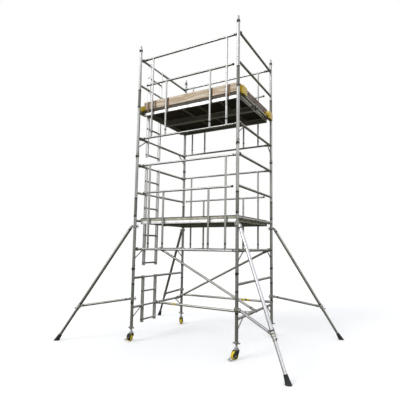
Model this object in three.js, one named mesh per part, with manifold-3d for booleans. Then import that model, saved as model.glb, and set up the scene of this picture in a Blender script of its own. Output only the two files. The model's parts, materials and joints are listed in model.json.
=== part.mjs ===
// Mobile access tower: a double-width aluminium scaffold tower on four castors.
// Millimetres, +Z up. The origin is on the floor, midway between the four legs.
// X runs along the platforms, Y across them. The ladder end is at -X.
import * as THREE from 'three';
import { mergeVertices } from 'three/addons/utils/BufferGeometryUtils.js';
import Module from 'manifold-3d';

const wasm = await Module();
wasm.setup();

// ---------------------------------------------------------------- driving dimensions
const BAY_LENGTH = 2000; // between the planes of the two end frames
const BAY_WIDTH = 1500; // between leg centres within an end frame
const RUNG_PITCH = 500;
const LOWEST_RUNG = 570; // height of the first rung above the floor
const LEG_BELOW = 320; // leg length under a frame's lowest rung
const LEG_ABOVE = 180; // leg length over a frame's highest rung

const LEG = { r: 25.4, bore: 22.8 };
const RUNG = { r: 21, bore: 18.6 };
const RAIL = { r: 17.5 };
const BRACE = { r: 21 };
const KNEE = { r: 10, along: 240, down: 180, sunk: 8, sides: 5 };
const SPIGOT = { r: 22.2, up: 76, inside: 60 };
const GAP = 0.5; // clearance between neighbouring pieces
const WELD = 1; // how far joined members run into each other
const TUBE_SIDES = 8;
const SLIM_SIDES = 6; // rails, braces, ladder rungs and other slim tubes

const STILE = { near: -490, far: -145, depth: 60, width: 25, wall: 3, tail: 40 };
const LADDER_RUNG = { r: 16, pitch: 250 };

const CLAW = { bore: 22.4, r: 32, width: 24, mouth: 100, sunk: 4 };
const CLAW_OPENS = { left: -140, right: -40 }; // direction of a claw's mouth at each end, degrees
const GUARD = { y: 680, outer: 760, inner: 450, mid_end: 880, height: 3 * RUNG_PITCH };

const DECK = { edge: 652, gap: 3, end: 955, top: 50, bottom: -60, ply: 14, beam: 30, web: 4 };
const END_BAR = { thick: 8, up: 10 };
const DECK_HOOK = { y: 270, width: 30, wrap: 0.2, neck_low: -8, neck_high: 20, root: 20, sunk: 5 };
const CROSS_BARS = { x: [-235, 90, 520], half: 14, low: 6 };
const HATCH = { x0: -900, x1: -250, y0: -590, y1: -65, gap: 3, trim: 14, lid: 13 };
const TOEBOARD = { height: 145, thick: 22, x: 965, y: 655 };
const CLIP = { low: -20, high: 120, x: 1060, y: 692, arm_x: 945, arm_y: 515 };
const CLIP_CHAMFER = { corner: 12, tip_x: 14, tip_y: 20 };
const CLIP_CHANNEL = { rung_x: 1022.5, rung_z: 22.5, hook_x: 1033.5, hook_z: 33.5, hook_y: 620 };

const CASTOR = { wheel_r: 62.5, wheel_w: 50, trail: 35, fork_top: 156, plate_y: 29, plate_t: 3.5 };
const HUB = { bore: 8, r: 24, proud: 2, tread: 14, shoulder: 7 };
const FORK = { bridge_low: -25, bridge_high: -17, race_r: 36, axle_r: 6, axle_past: 9 };
const BRAKE = { arm: 3, clear: 2.5, eye: 7, pedal_x: [72, 108], pedal_z: [-46, -40] };
const STEM = { r: 18, bottom: 157, top: 670, flange: 33 };
const NUT = { r: 34, height: 34, wing: 62, wing_half: 5, wing_z: [6, 26] };

const STAY = { top: 1970, low: 715, pivot: 55, collar: 1640, tube: 1720, r: 25.4, bore: 22.8 };
const STAY_INNER = { r: 22, bore: 19, overlap: 300 };
const STAY_ARM = { r: 20, lug: 60, collar_r: 34, collar_half: 28, from: 40, slack: 0.6 };
const STAY_CLAMP = { r: 38, half: 25, bore: LEG.r + 2.6, ear: 16 };
const FOOT = { r_top: 29, r_sole: 46, length: 118, tube_end: 60, plug: 160 };

// Each corner: side of the tower, castor heading, stabiliser swing and foot reach.
const CORNERS = {
  front_left: { sx: -1, sy: -1, heading: 172, swing: -155, reach: 1291 },
  back_left: { sx: -1, sy: 1, heading: 118, swing: 151, reach: 1134 },
  front_right: { sx: 1, sy: -1, heading: -112, swing: -30, reach: 1100 },
  back_right: { sx: 1, sy: 1, heading: 92, swing: 18, reach: 1230 },
};

// Horizontal and diagonal braces, from a left-end point to a right-end point.
const BRACES = {
  horizontal_brace_back: {
    left: [BAY_WIDTH / 2, LOWEST_RUNG + 45],
    right: [BAY_WIDTH / 2, LOWEST_RUNG + 45],
    on: 'leg',
  },
  horizontal_brace_middle: { left: [-90, LOWEST_RUNG], right: [-200, LOWEST_RUNG], on: 'rung' },
  diagonal_brace_middle: { left: [-10, LOWEST_RUNG + 1000], right: [-10, LOWEST_RUNG], on: 'rung' },
  diagonal_brace_back: { left: [600, LOWEST_RUNG], right: [600, LOWEST_RUNG + 1000], on: 'rung' },
};

// ---------------------------------------------------------------- materials
const finish = (color, roughness, metalness) =>
  new THREE.MeshStandardMaterial({ color, roughness, metalness });
const MATERIALS = {
  tube: finish(0xb9bcc0, 0.42, 0.9),
  bright: finish(0xd0d3d6, 0.35, 0.9),
  deck: finish(0x3a352e, 0.8, 0.0),
  pine: finish(0xd9bf98, 0.75, 0.0),
  yellow: finish(0xe6c21a, 0.5, 0.0),
  steel: finish(0xa9abad, 0.4, 0.85),
  fork: finish(0x3c3f38, 0.55, 0.6),
};

// ---------------------------------------------------------------- solid helpers
function solid(geometry) {
  const bare = geometry.index ? geometry.toNonIndexed() : geometry.clone();
  bare.deleteAttribute('normal');
  bare.deleteAttribute('uv');
  const merged = mergeVertices(bare, 1e-3);
  const mesh = new wasm.Mesh({
    numProp: 3,
    vertProperties: new Float32Array(merged.attributes.position.array),
    triVerts: new Uint32Array(merged.index.array),
  });
  return new wasm.Manifold(mesh);
}

function geometryOf(body) {
  const mesh = body.getMesh();
  const geometry = new THREE.BufferGeometry();
  geometry.setAttribute('position', new THREE.BufferAttribute(mesh.vertProperties, 3));
  geometry.setIndex(new THREE.BufferAttribute(mesh.triVerts, 1));
  geometry.computeVertexNormals();
  return geometry;
}

const join = (bodies) => bodies.reduce((sum, body) => sum.add(body));
const cut = (body, tools) => tools.reduce((rest, tool) => rest.subtract(tool), body);
const span = (a, b) => (a < b ? [a, b] : [b, a]);

// A rod between two points; `sides` corners lie at radius r.
function rod(from, to, r, sides = TUBE_SIDES, r_end = r) {
  const a = new THREE.Vector3(...from);
  const b = new THREE.Vector3(...to);
  const along = b.clone().sub(a);
  const geometry = new THREE.CylinderGeometry(r_end, r, along.length(), sides);
  const up = new THREE.Vector3(0, 1, 0);
  geometry.applyQuaternion(new THREE.Quaternion().setFromUnitVectors(up, along.normalize()));
  geometry.translate(...a.add(b).multiplyScalar(0.5).toArray());
  return solid(geometry);
}

// A box from its low corner to its high corner.
function block(low, high) {
  const size = high.map((value, axis) => value - low[axis]);
  const geometry = new THREE.BoxGeometry(...size);
  geometry.translate(...low.map((value, axis) => value + size[axis] / 2));
  return solid(geometry);
}

// A flat outline in the XZ plane, extruded along Y about y = 0.
function plateXZ(shape, width) {
  const settings = { depth: width, bevelEnabled: false, curveSegments: 4 };
  const geometry = new THREE.ExtrudeGeometry(shape, settings);
  geometry.translate(0, 0, -width / 2);
  geometry.rotateX(Math.PI / 2);
  return solid(geometry);
}

function outline(points) {
  return new THREE.Shape(points.map(([x, y]) => new THREE.Vector2(x, y)));
}

// A C-shaped hook around the origin, its mouth centred on the given direction.
function clawShape(mouth_direction) {
  const half = THREE.MathUtils.degToRad(CLAW.mouth / 2);
  const middle = THREE.MathUtils.degToRad(mouth_direction);
  const shape = new THREE.Shape();
  shape.absarc(0, 0, CLAW.r, middle + half, middle - half + 2 * Math.PI, false);
  shape.absarc(0, 0, CLAW.bore, middle - half + 2 * Math.PI, middle + half, true);
  return shape;
}

const tower = new THREE.Group();

function addPart(name, body, material, parent = tower) {
  const mesh = new THREE.Mesh(geometryOf(body), material);
  mesh.name = name;
  parent.add(mesh);
  return mesh;
}

// ---------------------------------------------------------------- end frames
// Built in the plane x = 0 with its legs standing on z = 0.
function endFrame(rungs, with_ladder) {
  const half = BAY_WIDTH / 2;
  const height = LEG_BELOW + (rungs - 1) * RUNG_PITCH + LEG_ABOVE;
  const top_rung = height - LEG_ABOVE;
  const outer = [];
  const inner = [];
  for (const side of [-1, 1]) {
    const y = side * half;
    outer.push(rod([0, y, GAP / 2], [0, y, height - GAP / 2], LEG.r));
    outer.push(rod([0, y, height - SPIGOT.inside], [0, y, height + SPIGOT.up], SPIGOT.r));
    inner.push(rod([0, y, -WELD], [0, y, height - SPIGOT.inside], LEG.bore));
    const knee_top = [0, side * (half - KNEE.along), LEG_BELOW];
    const knee_foot = [0, side * (half - KNEE.sunk), LEG_BELOW - KNEE.down];
    outer.push(rod(knee_top, knee_foot, KNEE.r, KNEE.sides));
  }
  const spans = with_ladder ? [[-half, STILE.near], [STILE.far, half]] : [[-half, half]];
  for (let i = 0; i < rungs; i += 1) {
    const z = LEG_BELOW + i * RUNG_PITCH;
    for (const [y0, y1] of spans) {
      outer.push(rod([0, y0, z], [0, y1, z], RUNG.r));
      inner.push(rod([0, y0, z], [0, y1, z], RUNG.bore));
    }
  }
  if (with_ladder) {
    addLadder(outer, inner, top_rung);
  }
  return cut(join(outer), [join(inner)]);
}

// The climbing ladder welded into an end frame: two box stiles and closer rungs.
function addLadder(outer, inner, top_rung) {
  const lowest = LEG_BELOW - LADDER_RUNG.pitch;
  const dx = STILE.depth / 2;
  const dy = STILE.width / 2;
  for (const y of [STILE.near, STILE.far]) {
    const low = [-dx, y - dy, lowest - STILE.tail];
    const high = [dx, y + dy, top_rung + RUNG.r];
    outer.push(block(low, high));
    const low_in = [-dx + STILE.wall, y - dy + STILE.wall, low[2] - WELD];
    const high_in = [dx - STILE.wall, y + dy - STILE.wall, high[2] + WELD];
    inner.push(block(low_in, high_in));
  }
  for (let z = lowest; z <= top_rung; z += LADDER_RUNG.pitch) {
    outer.push(rod([0, STILE.near, z], [0, STILE.far, z], LADDER_RUNG.r, SLIM_SIDES));
  }
}

const LEVELS = [
  { name: 'base', rungs: 2, first_rung: 0 },
  { name: 'middle', rungs: 4, first_rung: 2 },
  { name: 'top', rungs: 4, first_rung: 6 },
];

for (const { name, rungs, first_rung } of LEVELS) {
  const foot = LOWEST_RUNG + first_rung * RUNG_PITCH - LEG_BELOW;
  for (const [kind, x] of [['ladder', -BAY_LENGTH / 2], ['plain', BAY_LENGTH / 2]]) {
    const body = endFrame(rungs, kind === 'ladder');
    const mesh = addPart(`${kind}_frame_${name}`, body, MATERIALS.tube);
    mesh.position.set(x, 0, foot);
  }
}

// ---------------------------------------------------------------- guardrail frames
// Built in the plane y = 0, bottom rail at z = 0, hooked on rungs at both ends.
function guardrailFrame() {
  const reach = BAY_LENGTH / 2;
  const rail_end = reach - CLAW.r + CLAW.sunk;
  const tubes = [];
  for (const z of [0, GUARD.height]) {
    tubes.push(rod([-rail_end, 0, z], [rail_end, 0, z], RAIL.r, SLIM_SIDES));
    for (const side of [-1, 1]) {
      const mouth = side < 0 ? CLAW_OPENS.left : CLAW_OPENS.right;
      tubes.push(plateXZ(clawShape(mouth), CLAW.width).translate([side * reach, 0, z]));
    }
  }
  const mid = GUARD.height - RUNG_PITCH;
  tubes.push(rod([-GUARD.mid_end, 0, mid], [GUARD.mid_end, 0, mid], RAIL.r, SLIM_SIDES));
  for (const side of [-1, 1]) {
    const outer = side * GUARD.outer;
    const inner = side * GUARD.inner;
    tubes.push(rod([outer, 0, 0], [outer, 0, GUARD.height], RAIL.r, SLIM_SIDES));
    tubes.push(rod([inner, 0, 0], [inner, 0, mid], RAIL.r, SLIM_SIDES));
  }
  return join(tubes);
}

const guardrail = guardrailFrame();
for (const [side, sy] of [['front', -1], ['back', 1]]) {
  for (const [level, rung] of [['middle', 2], ['top', 6]]) {
    const mesh = addPart(`guardrail_frame_${side}_${level}`, guardrail, MATERIALS.bright);
    mesh.position.set(0, sy * GUARD.y, LOWEST_RUNG + rung * RUNG_PITCH);
  }
}

// ---------------------------------------------------------------- braces
// A brace tube with a claw at each end that grips a rung or a leg.
function brace({ left, right, on }) {
  const ends = [
    { side: -1, y: left[0], z: left[1] },
    { side: 1, y: right[0], z: right[1] },
  ];
  const points = ends.map(({ side, y, z }) => new THREE.Vector3(side * BAY_LENGTH / 2, y, z));
  const along = points[1].clone().sub(points[0]).normalize();
  const inset = CLAW.r - CLAW.sunk;
  const from = points[0].clone().addScaledVector(along, inset);
  const to = points[1].clone().addScaledVector(along, -inset);
  const pieces = [rod(from.toArray(), to.toArray(), BRACE.r)];
  const slope = THREE.MathUtils.radToDeg(Math.atan2(along.z, along.x));
  ends.forEach(({ side }, index) => {
    const opens = side < 0 ? CLAW_OPENS.left : CLAW_OPENS.right;
    const outward = side < 0 ? 180 : 0;
    let claw = plateXZ(clawShape(on === 'leg' ? outward : slope + opens), CLAW.width);
    if (on === 'leg') {
      claw = claw.rotate([90, 0, 0]).scale([LEG.r / RUNG.r, LEG.r / RUNG.r, 1]);
    }
    pieces.push(claw.translate(points[index].toArray()));
  });
  return join(pieces);
}

for (const [name, ends] of Object.entries(BRACES)) {
  addPart(name, brace(ends), MATERIALS.bright);
}

// ---------------------------------------------------------------- platforms
// One platform, centred on y = 0, hooked over rungs whose centres are at z = 0.
function platform(width) {
  const half = width / 2;
  const ply_low = DECK.top - DECK.ply;
  const pieces = [block([-DECK.end, -half, ply_low], [DECK.end, half, DECK.top])];
  const under_ply = ply_low + WELD;
  for (const side of [-1, 1]) {
    const web = span(side * half, side * (half - DECK.web));
    const flange = span(side * half, side * (half - DECK.beam));
    pieces.push(block([-DECK.end, web[0], DECK.bottom], [DECK.end, web[1], under_ply]));
    const flange_top = DECK.bottom + DECK.web;
    pieces.push(block([-DECK.end, flange[0], DECK.bottom], [DECK.end, flange[1], flange_top]));
    const end = span(side * DECK.end, side * (DECK.end - END_BAR.thick));
    const end_low = [end[0], -half + WELD, DECK.bottom + END_BAR.up];
    pieces.push(block(end_low, [end[1], half - WELD, under_ply]));
  }
  for (const x of CROSS_BARS.x) {
    const low = [x - CROSS_BARS.half, -half + WELD, CROSS_BARS.low];
    pieces.push(block(low, [x + CROSS_BARS.half, half - WELD, under_ply]));
  }
  for (const side of [-1, 1]) {
    for (const hook of [-1, 1]) {
      pieces.push(deckHook(side).translate([0, hook * DECK_HOOK.y, 0]));
    }
  }
  return join(pieces);
}

// A hook plate at one end of a platform, lying over the rung.
function deckHook(side) {
  const { width, wrap, neck_low, neck_high, root, sunk } = DECK_HOOK;
  const reach = BAY_LENGTH / 2;
  const arch = new THREE.Shape();
  arch.absarc(0, 0, CLAW.r, -wrap, Math.PI + wrap, false);
  arch.absarc(0, 0, CLAW.bore, Math.PI + wrap, -wrap, true);
  const hook = plateXZ(arch, width).translate([side * reach, 0, 0]);
  const x = span(side * (DECK.end - root), side * (reach - CLAW.r + sunk));
  return hook.add(block([x[0], -width / 2, neck_low], [x[1], width / 2, neck_high]));
}

function hatchLid() {
  const { x0, x1, y0, y1, gap, lid } = HATCH;
  return block([x0 + gap, y0 + gap, DECK.top - lid], [x1 - gap, y1 - gap, DECK.top]);
}

// Bars under the board along the four sides of the trapdoor opening.
function hatchTrimmers() {
  const low = [HATCH.x0 - HATCH.trim, HATCH.y0 - HATCH.trim, 0];
  return block(low, [HATCH.x1 + HATCH.trim, HATCH.y1 + HATCH.trim, DECK.top - WELD]);
}

const deck_middle = (DECK.edge + DECK.gap) / 2;
const plain_deck = platform(DECK.edge - DECK.gap);
const hatch_low = [HATCH.x0, HATCH.y0, -WELD];
const hatch_hole = block(hatch_low, [HATCH.x1, HATCH.y1, DECK.top + WELD]);
const hatch_side = plain_deck.translate([0, -deck_middle, 0]).add(hatchTrimmers());
const hatch_deck = hatch_side.subtract(hatch_hole);
const lid = hatchLid();
for (const [level, rung] of [['lower', 3], ['upper', 7]]) {
  const z = LOWEST_RUNG + rung * RUNG_PITCH;
  addPart(`trapdoor_platform_${level}`, hatch_deck, MATERIALS.deck).position.z = z;
  addPart(`trapdoor_${level}`, lid, MATERIALS.deck).position.z = z;
  const plain = addPart(`plain_platform_${level}`, plain_deck, MATERIALS.deck);
  plain.position.set(0, deck_middle, z);
}

// ---------------------------------------------------------------- toeboards and corner clips
const deck_top = LOWEST_RUNG + 7 * RUNG_PITCH + DECK.top;

function toeboard(low, high) {
  return block([...low, deck_top + GAP], [...high, deck_top + GAP + TOEBOARD.height]);
}

for (const [side, sy] of [['front', -1], ['back', 1]]) {
  const y = span(sy * TOEBOARD.y, sy * (TOEBOARD.y - TOEBOARD.thick));
  const body = toeboard([-TOEBOARD.x, y[0]], [TOEBOARD.x, y[1]]);
  addPart(`toeboard_${side}`, body, MATERIALS.pine);
}
for (const [side, sx] of [['left', -1], ['right', 1]]) {
  const x = span(sx * TOEBOARD.x, sx * (TOEBOARD.x - TOEBOARD.thick));
  const half = TOEBOARD.y - TOEBOARD.thick - GAP;
  addPart(`toeboard_${side}`, toeboard([x[0], -half], [x[1], half]), MATERIALS.pine);
}

// An L-shaped moulding round the corner of the boards, saddled over the rung beside the leg.
// Its channel is wider and higher where it passes over a platform hook. The rung is at z = 0.
function cornerClip() {
  const shape = outline([
    [CLIP.arm_x, TOEBOARD.y + GAP],
    [TOEBOARD.x + GAP, TOEBOARD.y + GAP],
    [TOEBOARD.x + GAP, CLIP.arm_y],
    [CLIP.x - CLIP_CHAMFER.tip_x, CLIP.arm_y],
    [CLIP.x, CLIP.arm_y + CLIP_CHAMFER.tip_y],
    [CLIP.x, CLIP.y - CLIP_CHAMFER.corner],
    [CLIP.x - CLIP_CHAMFER.corner, CLIP.y],
    [CLIP.arm_x, CLIP.y],
  ]);
  const depth = CLIP.high - CLIP.low;
  const geometry = new THREE.ExtrudeGeometry(shape, { depth, bevelEnabled: false });
  geometry.translate(0, 0, CLIP.low);
  const { rung_x, rung_z, hook_x, hook_z, hook_y } = CLIP_CHANNEL;
  const channel_low = [CLIP.arm_x - WELD, CLIP.low - WELD];
  const over_rung = block(
    [channel_low[0], hook_y - WELD, channel_low[1]], [rung_x, CLIP.y + WELD, rung_z],
  );
  const over_hook = block(
    [channel_low[0], CLIP.arm_y - WELD, channel_low[1]], [hook_x, hook_y, hook_z],
  );
  return cut(solid(geometry), [over_rung, over_hook]);
}

const clip = cornerClip();
const clip_z = LOWEST_RUNG + 7 * RUNG_PITCH;
for (const [corner, { sx, sy }] of Object.entries(CORNERS)) {
  const mirrored = sx * sy < 0 ? clip.mirror([1, 0, 0]) : clip;
  const turned = sy < 0 ? mirrored.rotate([0, 0, 180]) : mirrored;
  addPart(`toeboard_clip_${corner}`, turned, MATERIALS.yellow).position.z = clip_z;
}

// ---------------------------------------------------------------- castors and adjustable legs
function adjustableLeg() {
  const flange = rod([0, 0, STEM.bottom], [0, 0, STEM.bottom + 8], STEM.flange, 12);
  return rod([0, 0, STEM.bottom + 4], [0, 0, STEM.top], STEM.r).add(flange);
}

function adjusterNut() {
  const top = LOWEST_RUNG - LEG_BELOW - GAP;
  const low = top - NUT.height;
  const collar = rod([0, 0, low], [0, 0, top], NUT.r, 12);
  const [wing_low, wing_high] = NUT.wing_z;
  const wings = block(
    [-NUT.wing, -NUT.wing_half, low + wing_low], [NUT.wing, NUT.wing_half, low + wing_high],
  );
  const hole = rod([0, 0, low - WELD], [0, 0, top + WELD], STEM.r + GAP + 1, 12);
  return collar.add(wings).subtract(hole);
}

// The swivel fork, trailing towards +X, with its axle bolt. Its cheeks cover most of the wheel.
function castorFork() {
  const { wheel_r, trail, fork_top, plate_y, plate_t } = CASTOR;
  const low = fork_top + FORK.bridge_low;
  const high = fork_top + FORK.bridge_high;
  const cheek = outline([
    [-34, high], [42, high], [76, 98], [78, 66], [62, 42], [30, 36], [4, 50], [-28, 98],
  ]);
  const plate = plateXZ(cheek, plate_t);
  const y = plate_y + plate_t / 2;
  const axle_end = y + FORK.axle_past;
  return join([
    rod([0, 0, low + WELD], [0, 0, fork_top], FORK.race_r, 10),
    block([-34, -plate_y - plate_t, low], [40, plate_y + plate_t, high]),
    plate.translate([0, y, 0]),
    plate.translate([0, -y, 0]),
    rod([trail, -axle_end, wheel_r], [trail, axle_end, wheel_r], FORK.axle_r, SLIM_SIDES),
  ]);
}

function castorWheel() {
  const { wheel_r, wheel_w } = CASTOR;
  const { bore, r, proud, tread, shoulder } = HUB;
  const half = wheel_w / 2;
  const profile = [
    [bore, -half - proud], [r, -half - proud], [wheel_r - tread, -half],
    [wheel_r, shoulder - half], [wheel_r, half - shoulder],
    [wheel_r - tread, half], [r, half + proud], [bore, half + proud],
    [bore, -half - proud],
  ];
  const points = profile.map(([x, y]) => new THREE.Vector2(x, y));
  return solid(new THREE.LatheGeometry(points, 18));
}

// The brake lever: two arms outside the fork, pivoting on the axle, and a foot pedal.
function brakeLever() {
  const { trail, wheel_r, plate_y, plate_t } = CASTOR;
  const { pedal_x, pedal_z } = BRAKE;
  const arm_shape = outline([[-11, -10], [8, -14], [76, -46], [80, -34], [12, 12], [-8, 10]]);
  const arm = plateXZ(arm_shape, BRAKE.arm);
  const y = plate_y + plate_t + BRAKE.clear;
  const outside = y + BRAKE.arm / 2;
  const pedal = block([pedal_x[0], -outside, pedal_z[0]], [pedal_x[1], outside, pedal_z[1]]);
  const lever = join([arm.translate([0, y, 0]), arm.translate([0, -y, 0]), pedal]);
  const eyes = rod([0, -outside - 5, 0], [0, outside + 5, 0], BRAKE.eye);
  return lever.subtract(eyes).translate([trail, 0, wheel_r]);
}

const adjustable_leg = adjustableLeg();
const adjuster_nut = adjusterNut();
const castor_fork = castorFork();
const castor_wheel = castorWheel().translate([CASTOR.trail, 0, CASTOR.wheel_r]);
const brake_lever = brakeLever();

// ---------------------------------------------------------------- stabilisers
// Built in the plane y = 0 with the tower leg on the Z axis and the foot towards +X.
function stayLine(reach) {
  const top = new THREE.Vector3(STAY.pivot, 0, STAY.top);
  const foot = new THREE.Vector3(reach, 0, 0);
  const along = foot.clone().sub(top).normalize();
  const at = (distance) => top.clone().addScaledVector(along, distance).toArray();
  return { at, length: foot.distanceTo(top) };
}

// A split clamp around the tower leg at height z, with a lug towards the stay.
function legClamp(z, lug) {
  const { r, half, bore, ear } = STAY_CLAMP;
  const ring = rod([0, 0, z - half], [0, 0, z + half], r, 10);
  const hole = rod([0, 0, z - half - 5], [0, 0, z + half + 5], bore);
  return ring.add(block([20, -ear, z - half + 3], [lug, ear, z + half - 3])).subtract(hole);
}

function stayTube(reach) {
  const line = stayLine(reach);
  const tube = rod(line.at(-8), line.at(STAY.tube), STAY.r);
  const bore = rod(line.at(60), line.at(STAY.tube + WELD), STAY.bore);
  const leg_space = rod([0, 0, STAY.top - 90], [0, 0, STAY.top + 90], STAY_CLAMP.bore);
  return legClamp(STAY.top, STAY.pivot).add(tube).subtract(bore).subtract(leg_space);
}

function stayArm(reach) {
  const { at } = stayLine(reach);
  const { r, lug, collar_r, collar_half, from, slack } = STAY_ARM;
  const collar = rod(at(STAY.collar - collar_half), at(STAY.collar + collar_half), collar_r, 10);
  const arm = rod([from, 0, STAY.low], at(STAY.collar), r);
  const tube_space = rod(at(STAY.collar - 200), at(STAY.collar + 200), STAY.r + slack);
  return legClamp(STAY.low, lug).add(arm).add(collar).subtract(tube_space);
}

// The telescopic foot: an inner tube in a rubber boot whose sole is cut flat at the floor.
function stayFoot(reach) {
  const line = stayLine(reach);
  const start = STAY.tube - STAY_INNER.overlap;
  const tube = rod(line.at(start), line.at(line.length - FOOT.tube_end), STAY_INNER.r);
  const bore = rod(line.at(start - WELD), line.at(line.length - FOOT.plug), STAY_INNER.bore);
  const boot_top = line.at(line.length - FOOT.length);
  const boot = rod(boot_top, line.at(line.length + 30), FOOT.r_top, 12, FOOT.r_sole);
  const floor = block([0, -200, -200], [reach + 300, 200, 0]);
  return tube.subtract(bore).add(boot).subtract(floor);
}

for (const [corner, { sx, sy, heading, swing, reach }] of Object.entries(CORNERS)) {
  const station = new THREE.Group();
  station.position.set(sx * BAY_LENGTH / 2, sy * BAY_WIDTH / 2, 0);
  addPart(`adjustable_leg_${corner}`, adjustable_leg, MATERIALS.steel, station);
  addPart(`adjuster_nut_${corner}`, adjuster_nut, MATERIALS.steel, station);

  const castor = new THREE.Group();
  castor.rotation.z = THREE.MathUtils.degToRad(heading);
  addPart(`castor_fork_${corner}`, castor_fork, MATERIALS.fork, castor);
  addPart(`castor_wheel_${corner}`, castor_wheel, MATERIALS.yellow, castor);
  addPart(`brake_lever_${corner}`, brake_lever, MATERIALS.steel, castor);
  station.add(castor);

  const stay = new THREE.Group();
  stay.rotation.z = THREE.MathUtils.degToRad(swing);
  addPart(`stabiliser_tube_${corner}`, stayTube(reach), MATERIALS.bright, stay);
  addPart(`stabiliser_arm_${corner}`, stayArm(reach), MATERIALS.bright, stay);
  addPart(`stabiliser_foot_${corner}`, stayFoot(reach), MATERIALS.bright, stay);
  station.add(stay);
  tower.add(station);
}

export default tower;
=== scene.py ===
"""Looks of a mobile tower scaffold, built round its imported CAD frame. Metres, +Z up, ladder end at -X."""

import json
import math
import random

import bmesh
import bpy
import numpy as np
from mathutils import Matrix, Vector


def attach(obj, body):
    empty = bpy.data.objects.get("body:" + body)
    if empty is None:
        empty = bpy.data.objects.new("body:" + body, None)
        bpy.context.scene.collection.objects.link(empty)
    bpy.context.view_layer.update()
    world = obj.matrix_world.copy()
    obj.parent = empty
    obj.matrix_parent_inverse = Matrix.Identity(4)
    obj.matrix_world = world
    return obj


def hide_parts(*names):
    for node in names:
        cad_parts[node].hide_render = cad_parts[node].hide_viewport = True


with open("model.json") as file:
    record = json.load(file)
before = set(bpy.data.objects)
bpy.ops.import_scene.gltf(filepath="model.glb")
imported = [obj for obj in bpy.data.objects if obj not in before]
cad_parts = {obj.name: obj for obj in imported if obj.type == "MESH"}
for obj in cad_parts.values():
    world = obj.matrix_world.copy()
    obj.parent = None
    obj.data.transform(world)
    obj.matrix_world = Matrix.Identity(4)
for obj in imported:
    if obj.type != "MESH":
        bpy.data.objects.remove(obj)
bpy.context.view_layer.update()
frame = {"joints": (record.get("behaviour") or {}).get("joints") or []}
rng = random.Random(11)

# ---------------------------------------------------------------- sizes, as in the CAD
JOINTS = {joint["name"]: joint for joint in frame["joints"]}
CORNERS = ("front_left", "back_left", "front_right", "back_right")
STATION = {c: Vector((*JOINTS[f"adjuster_nut_{c}_turn"]["pos_m"][:2], 0)) for c in CORNERS}
HALF_LENGTH = STATION["front_right"].x
HALF_WIDTH = STATION["back_right"].y
RUNG_PITCH = 0.5
LOWEST_RUNG = 0.57
LEG_BELOW = 0.32
LEG_ABOVE = 0.18
LEG_R, LEG_WALL = 0.0254, 0.0026
RUNG_R = 0.021
RAIL_R, RAIL_WALL = 0.0175, 0.002
BRACE_R, ARM_R = 0.021, 0.02
SPIGOT_R, SPIGOT_UP, SPIGOT_IN = 0.0222, 0.076, 0.06
KNEE_R, KNEE_ALONG, KNEE_DOWN = 0.0095, 0.24, 0.18
GAP = 0.0003
EMBED = 0.0008  # how far a welded end sinks into its neighbour

STILE_NEAR, STILE_FAR = -0.49, -0.145
STILE_DEPTH, STILE_WIDTH, STILE_WALL, STILE_TAIL = 0.06, 0.025, 0.003, 0.04
LADDER_R, LADDER_PITCH = 0.016, 0.25

CLAW_BORE, CLAW_R, CLAW_WIDTH, CLAW_MOUTH = 0.0224, 0.032, 0.024, 100
GUARD_Y, GUARD_OUTER, GUARD_INNER, GUARD_MID_END, GUARD_HEIGHT = 0.68, 0.76, 0.45, 0.88, 1.5

DECK_EDGE, DECK_GAP, DECK_END = 0.652, 0.003, 0.955
DECK_TOP, DECK_BOTTOM, PLY, HOOK_Y = 0.05, -0.06, 0.014, 0.27
CROSS_BARS = (-0.235, 0.09, 0.52)
HATCH_X, HATCH_Y, HATCH_GAP, TRIMMER = (-0.9, -0.25), (-0.59, -0.065), 0.003, 0.014
HINGE_Y, HINGE_LIFT, KNUCKLE_R = -0.5875, 0.0045, 0.0039
BOARD_HEIGHT, BOARD_THICK, BOARD_X, BOARD_Y = 0.145, 0.022, 0.965, 0.655
CLIP_LOW, CLIP_HIGH, CLIP_X, CLIP_Y, CLIP_ARM_X, CLIP_ARM_Y = -0.02, 0.12, 1.06, 0.692, 0.945, 0.515
CHANNEL_RUNG, CHANNEL_HOOK, CHANNEL_Y = (1.0225, 0.0225), (1.0335, 0.0335), 0.62

WHEEL_R, WHEEL_W, TRAIL, FORK_TOP, PLATE_Y, PLATE_T = 0.0625, 0.05, 0.035, 0.156, 0.029, 0.0035
STEM_R, STEM_LOW, STEM_TOP, FLANGE_R, THREAD_PITCH = 0.018, 0.157, 0.67, 0.033, 0.008
NUT_LOW, NUT_TOP, NUT_R, NUT_WING = 0.2155, 0.2495, 0.034, 0.062
STAY_TOP, STAY_LOW, STAY_PIVOT, STAY_COLLAR, STAY_TUBE = 1.97, 0.715, 0.055, 1.64, 1.72
STAY_R, STAY_INNER_R, CLAMP_R = 0.0254, 0.022, 0.038
BOOT_TOP_R, BOOT_SOLE_R, BOOT_LENGTH = 0.0275, 0.0438, 0.118

LEVELS = (("base", 2), ("middle", 4), ("top", 4))
BRACES = {
    "horizontal_brace_back": ((0.75, LOWEST_RUNG + 0.045), (0.75, LOWEST_RUNG + 0.045), "leg"),
    "horizontal_brace_middle": ((-0.09, LOWEST_RUNG), (-0.2, LOWEST_RUNG), "rung"),
    "diagonal_brace_middle": ((-0.01, LOWEST_RUNG + 1), (-0.01, LOWEST_RUNG), "rung"),
    "diagonal_brace_back": ((0.6, LOWEST_RUNG), (0.6, LOWEST_RUNG + 1), "rung"),
}
UP = Vector((0, 0, 1))


def rung_height(number):
    return LOWEST_RUNG + number * RUNG_PITCH


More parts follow.
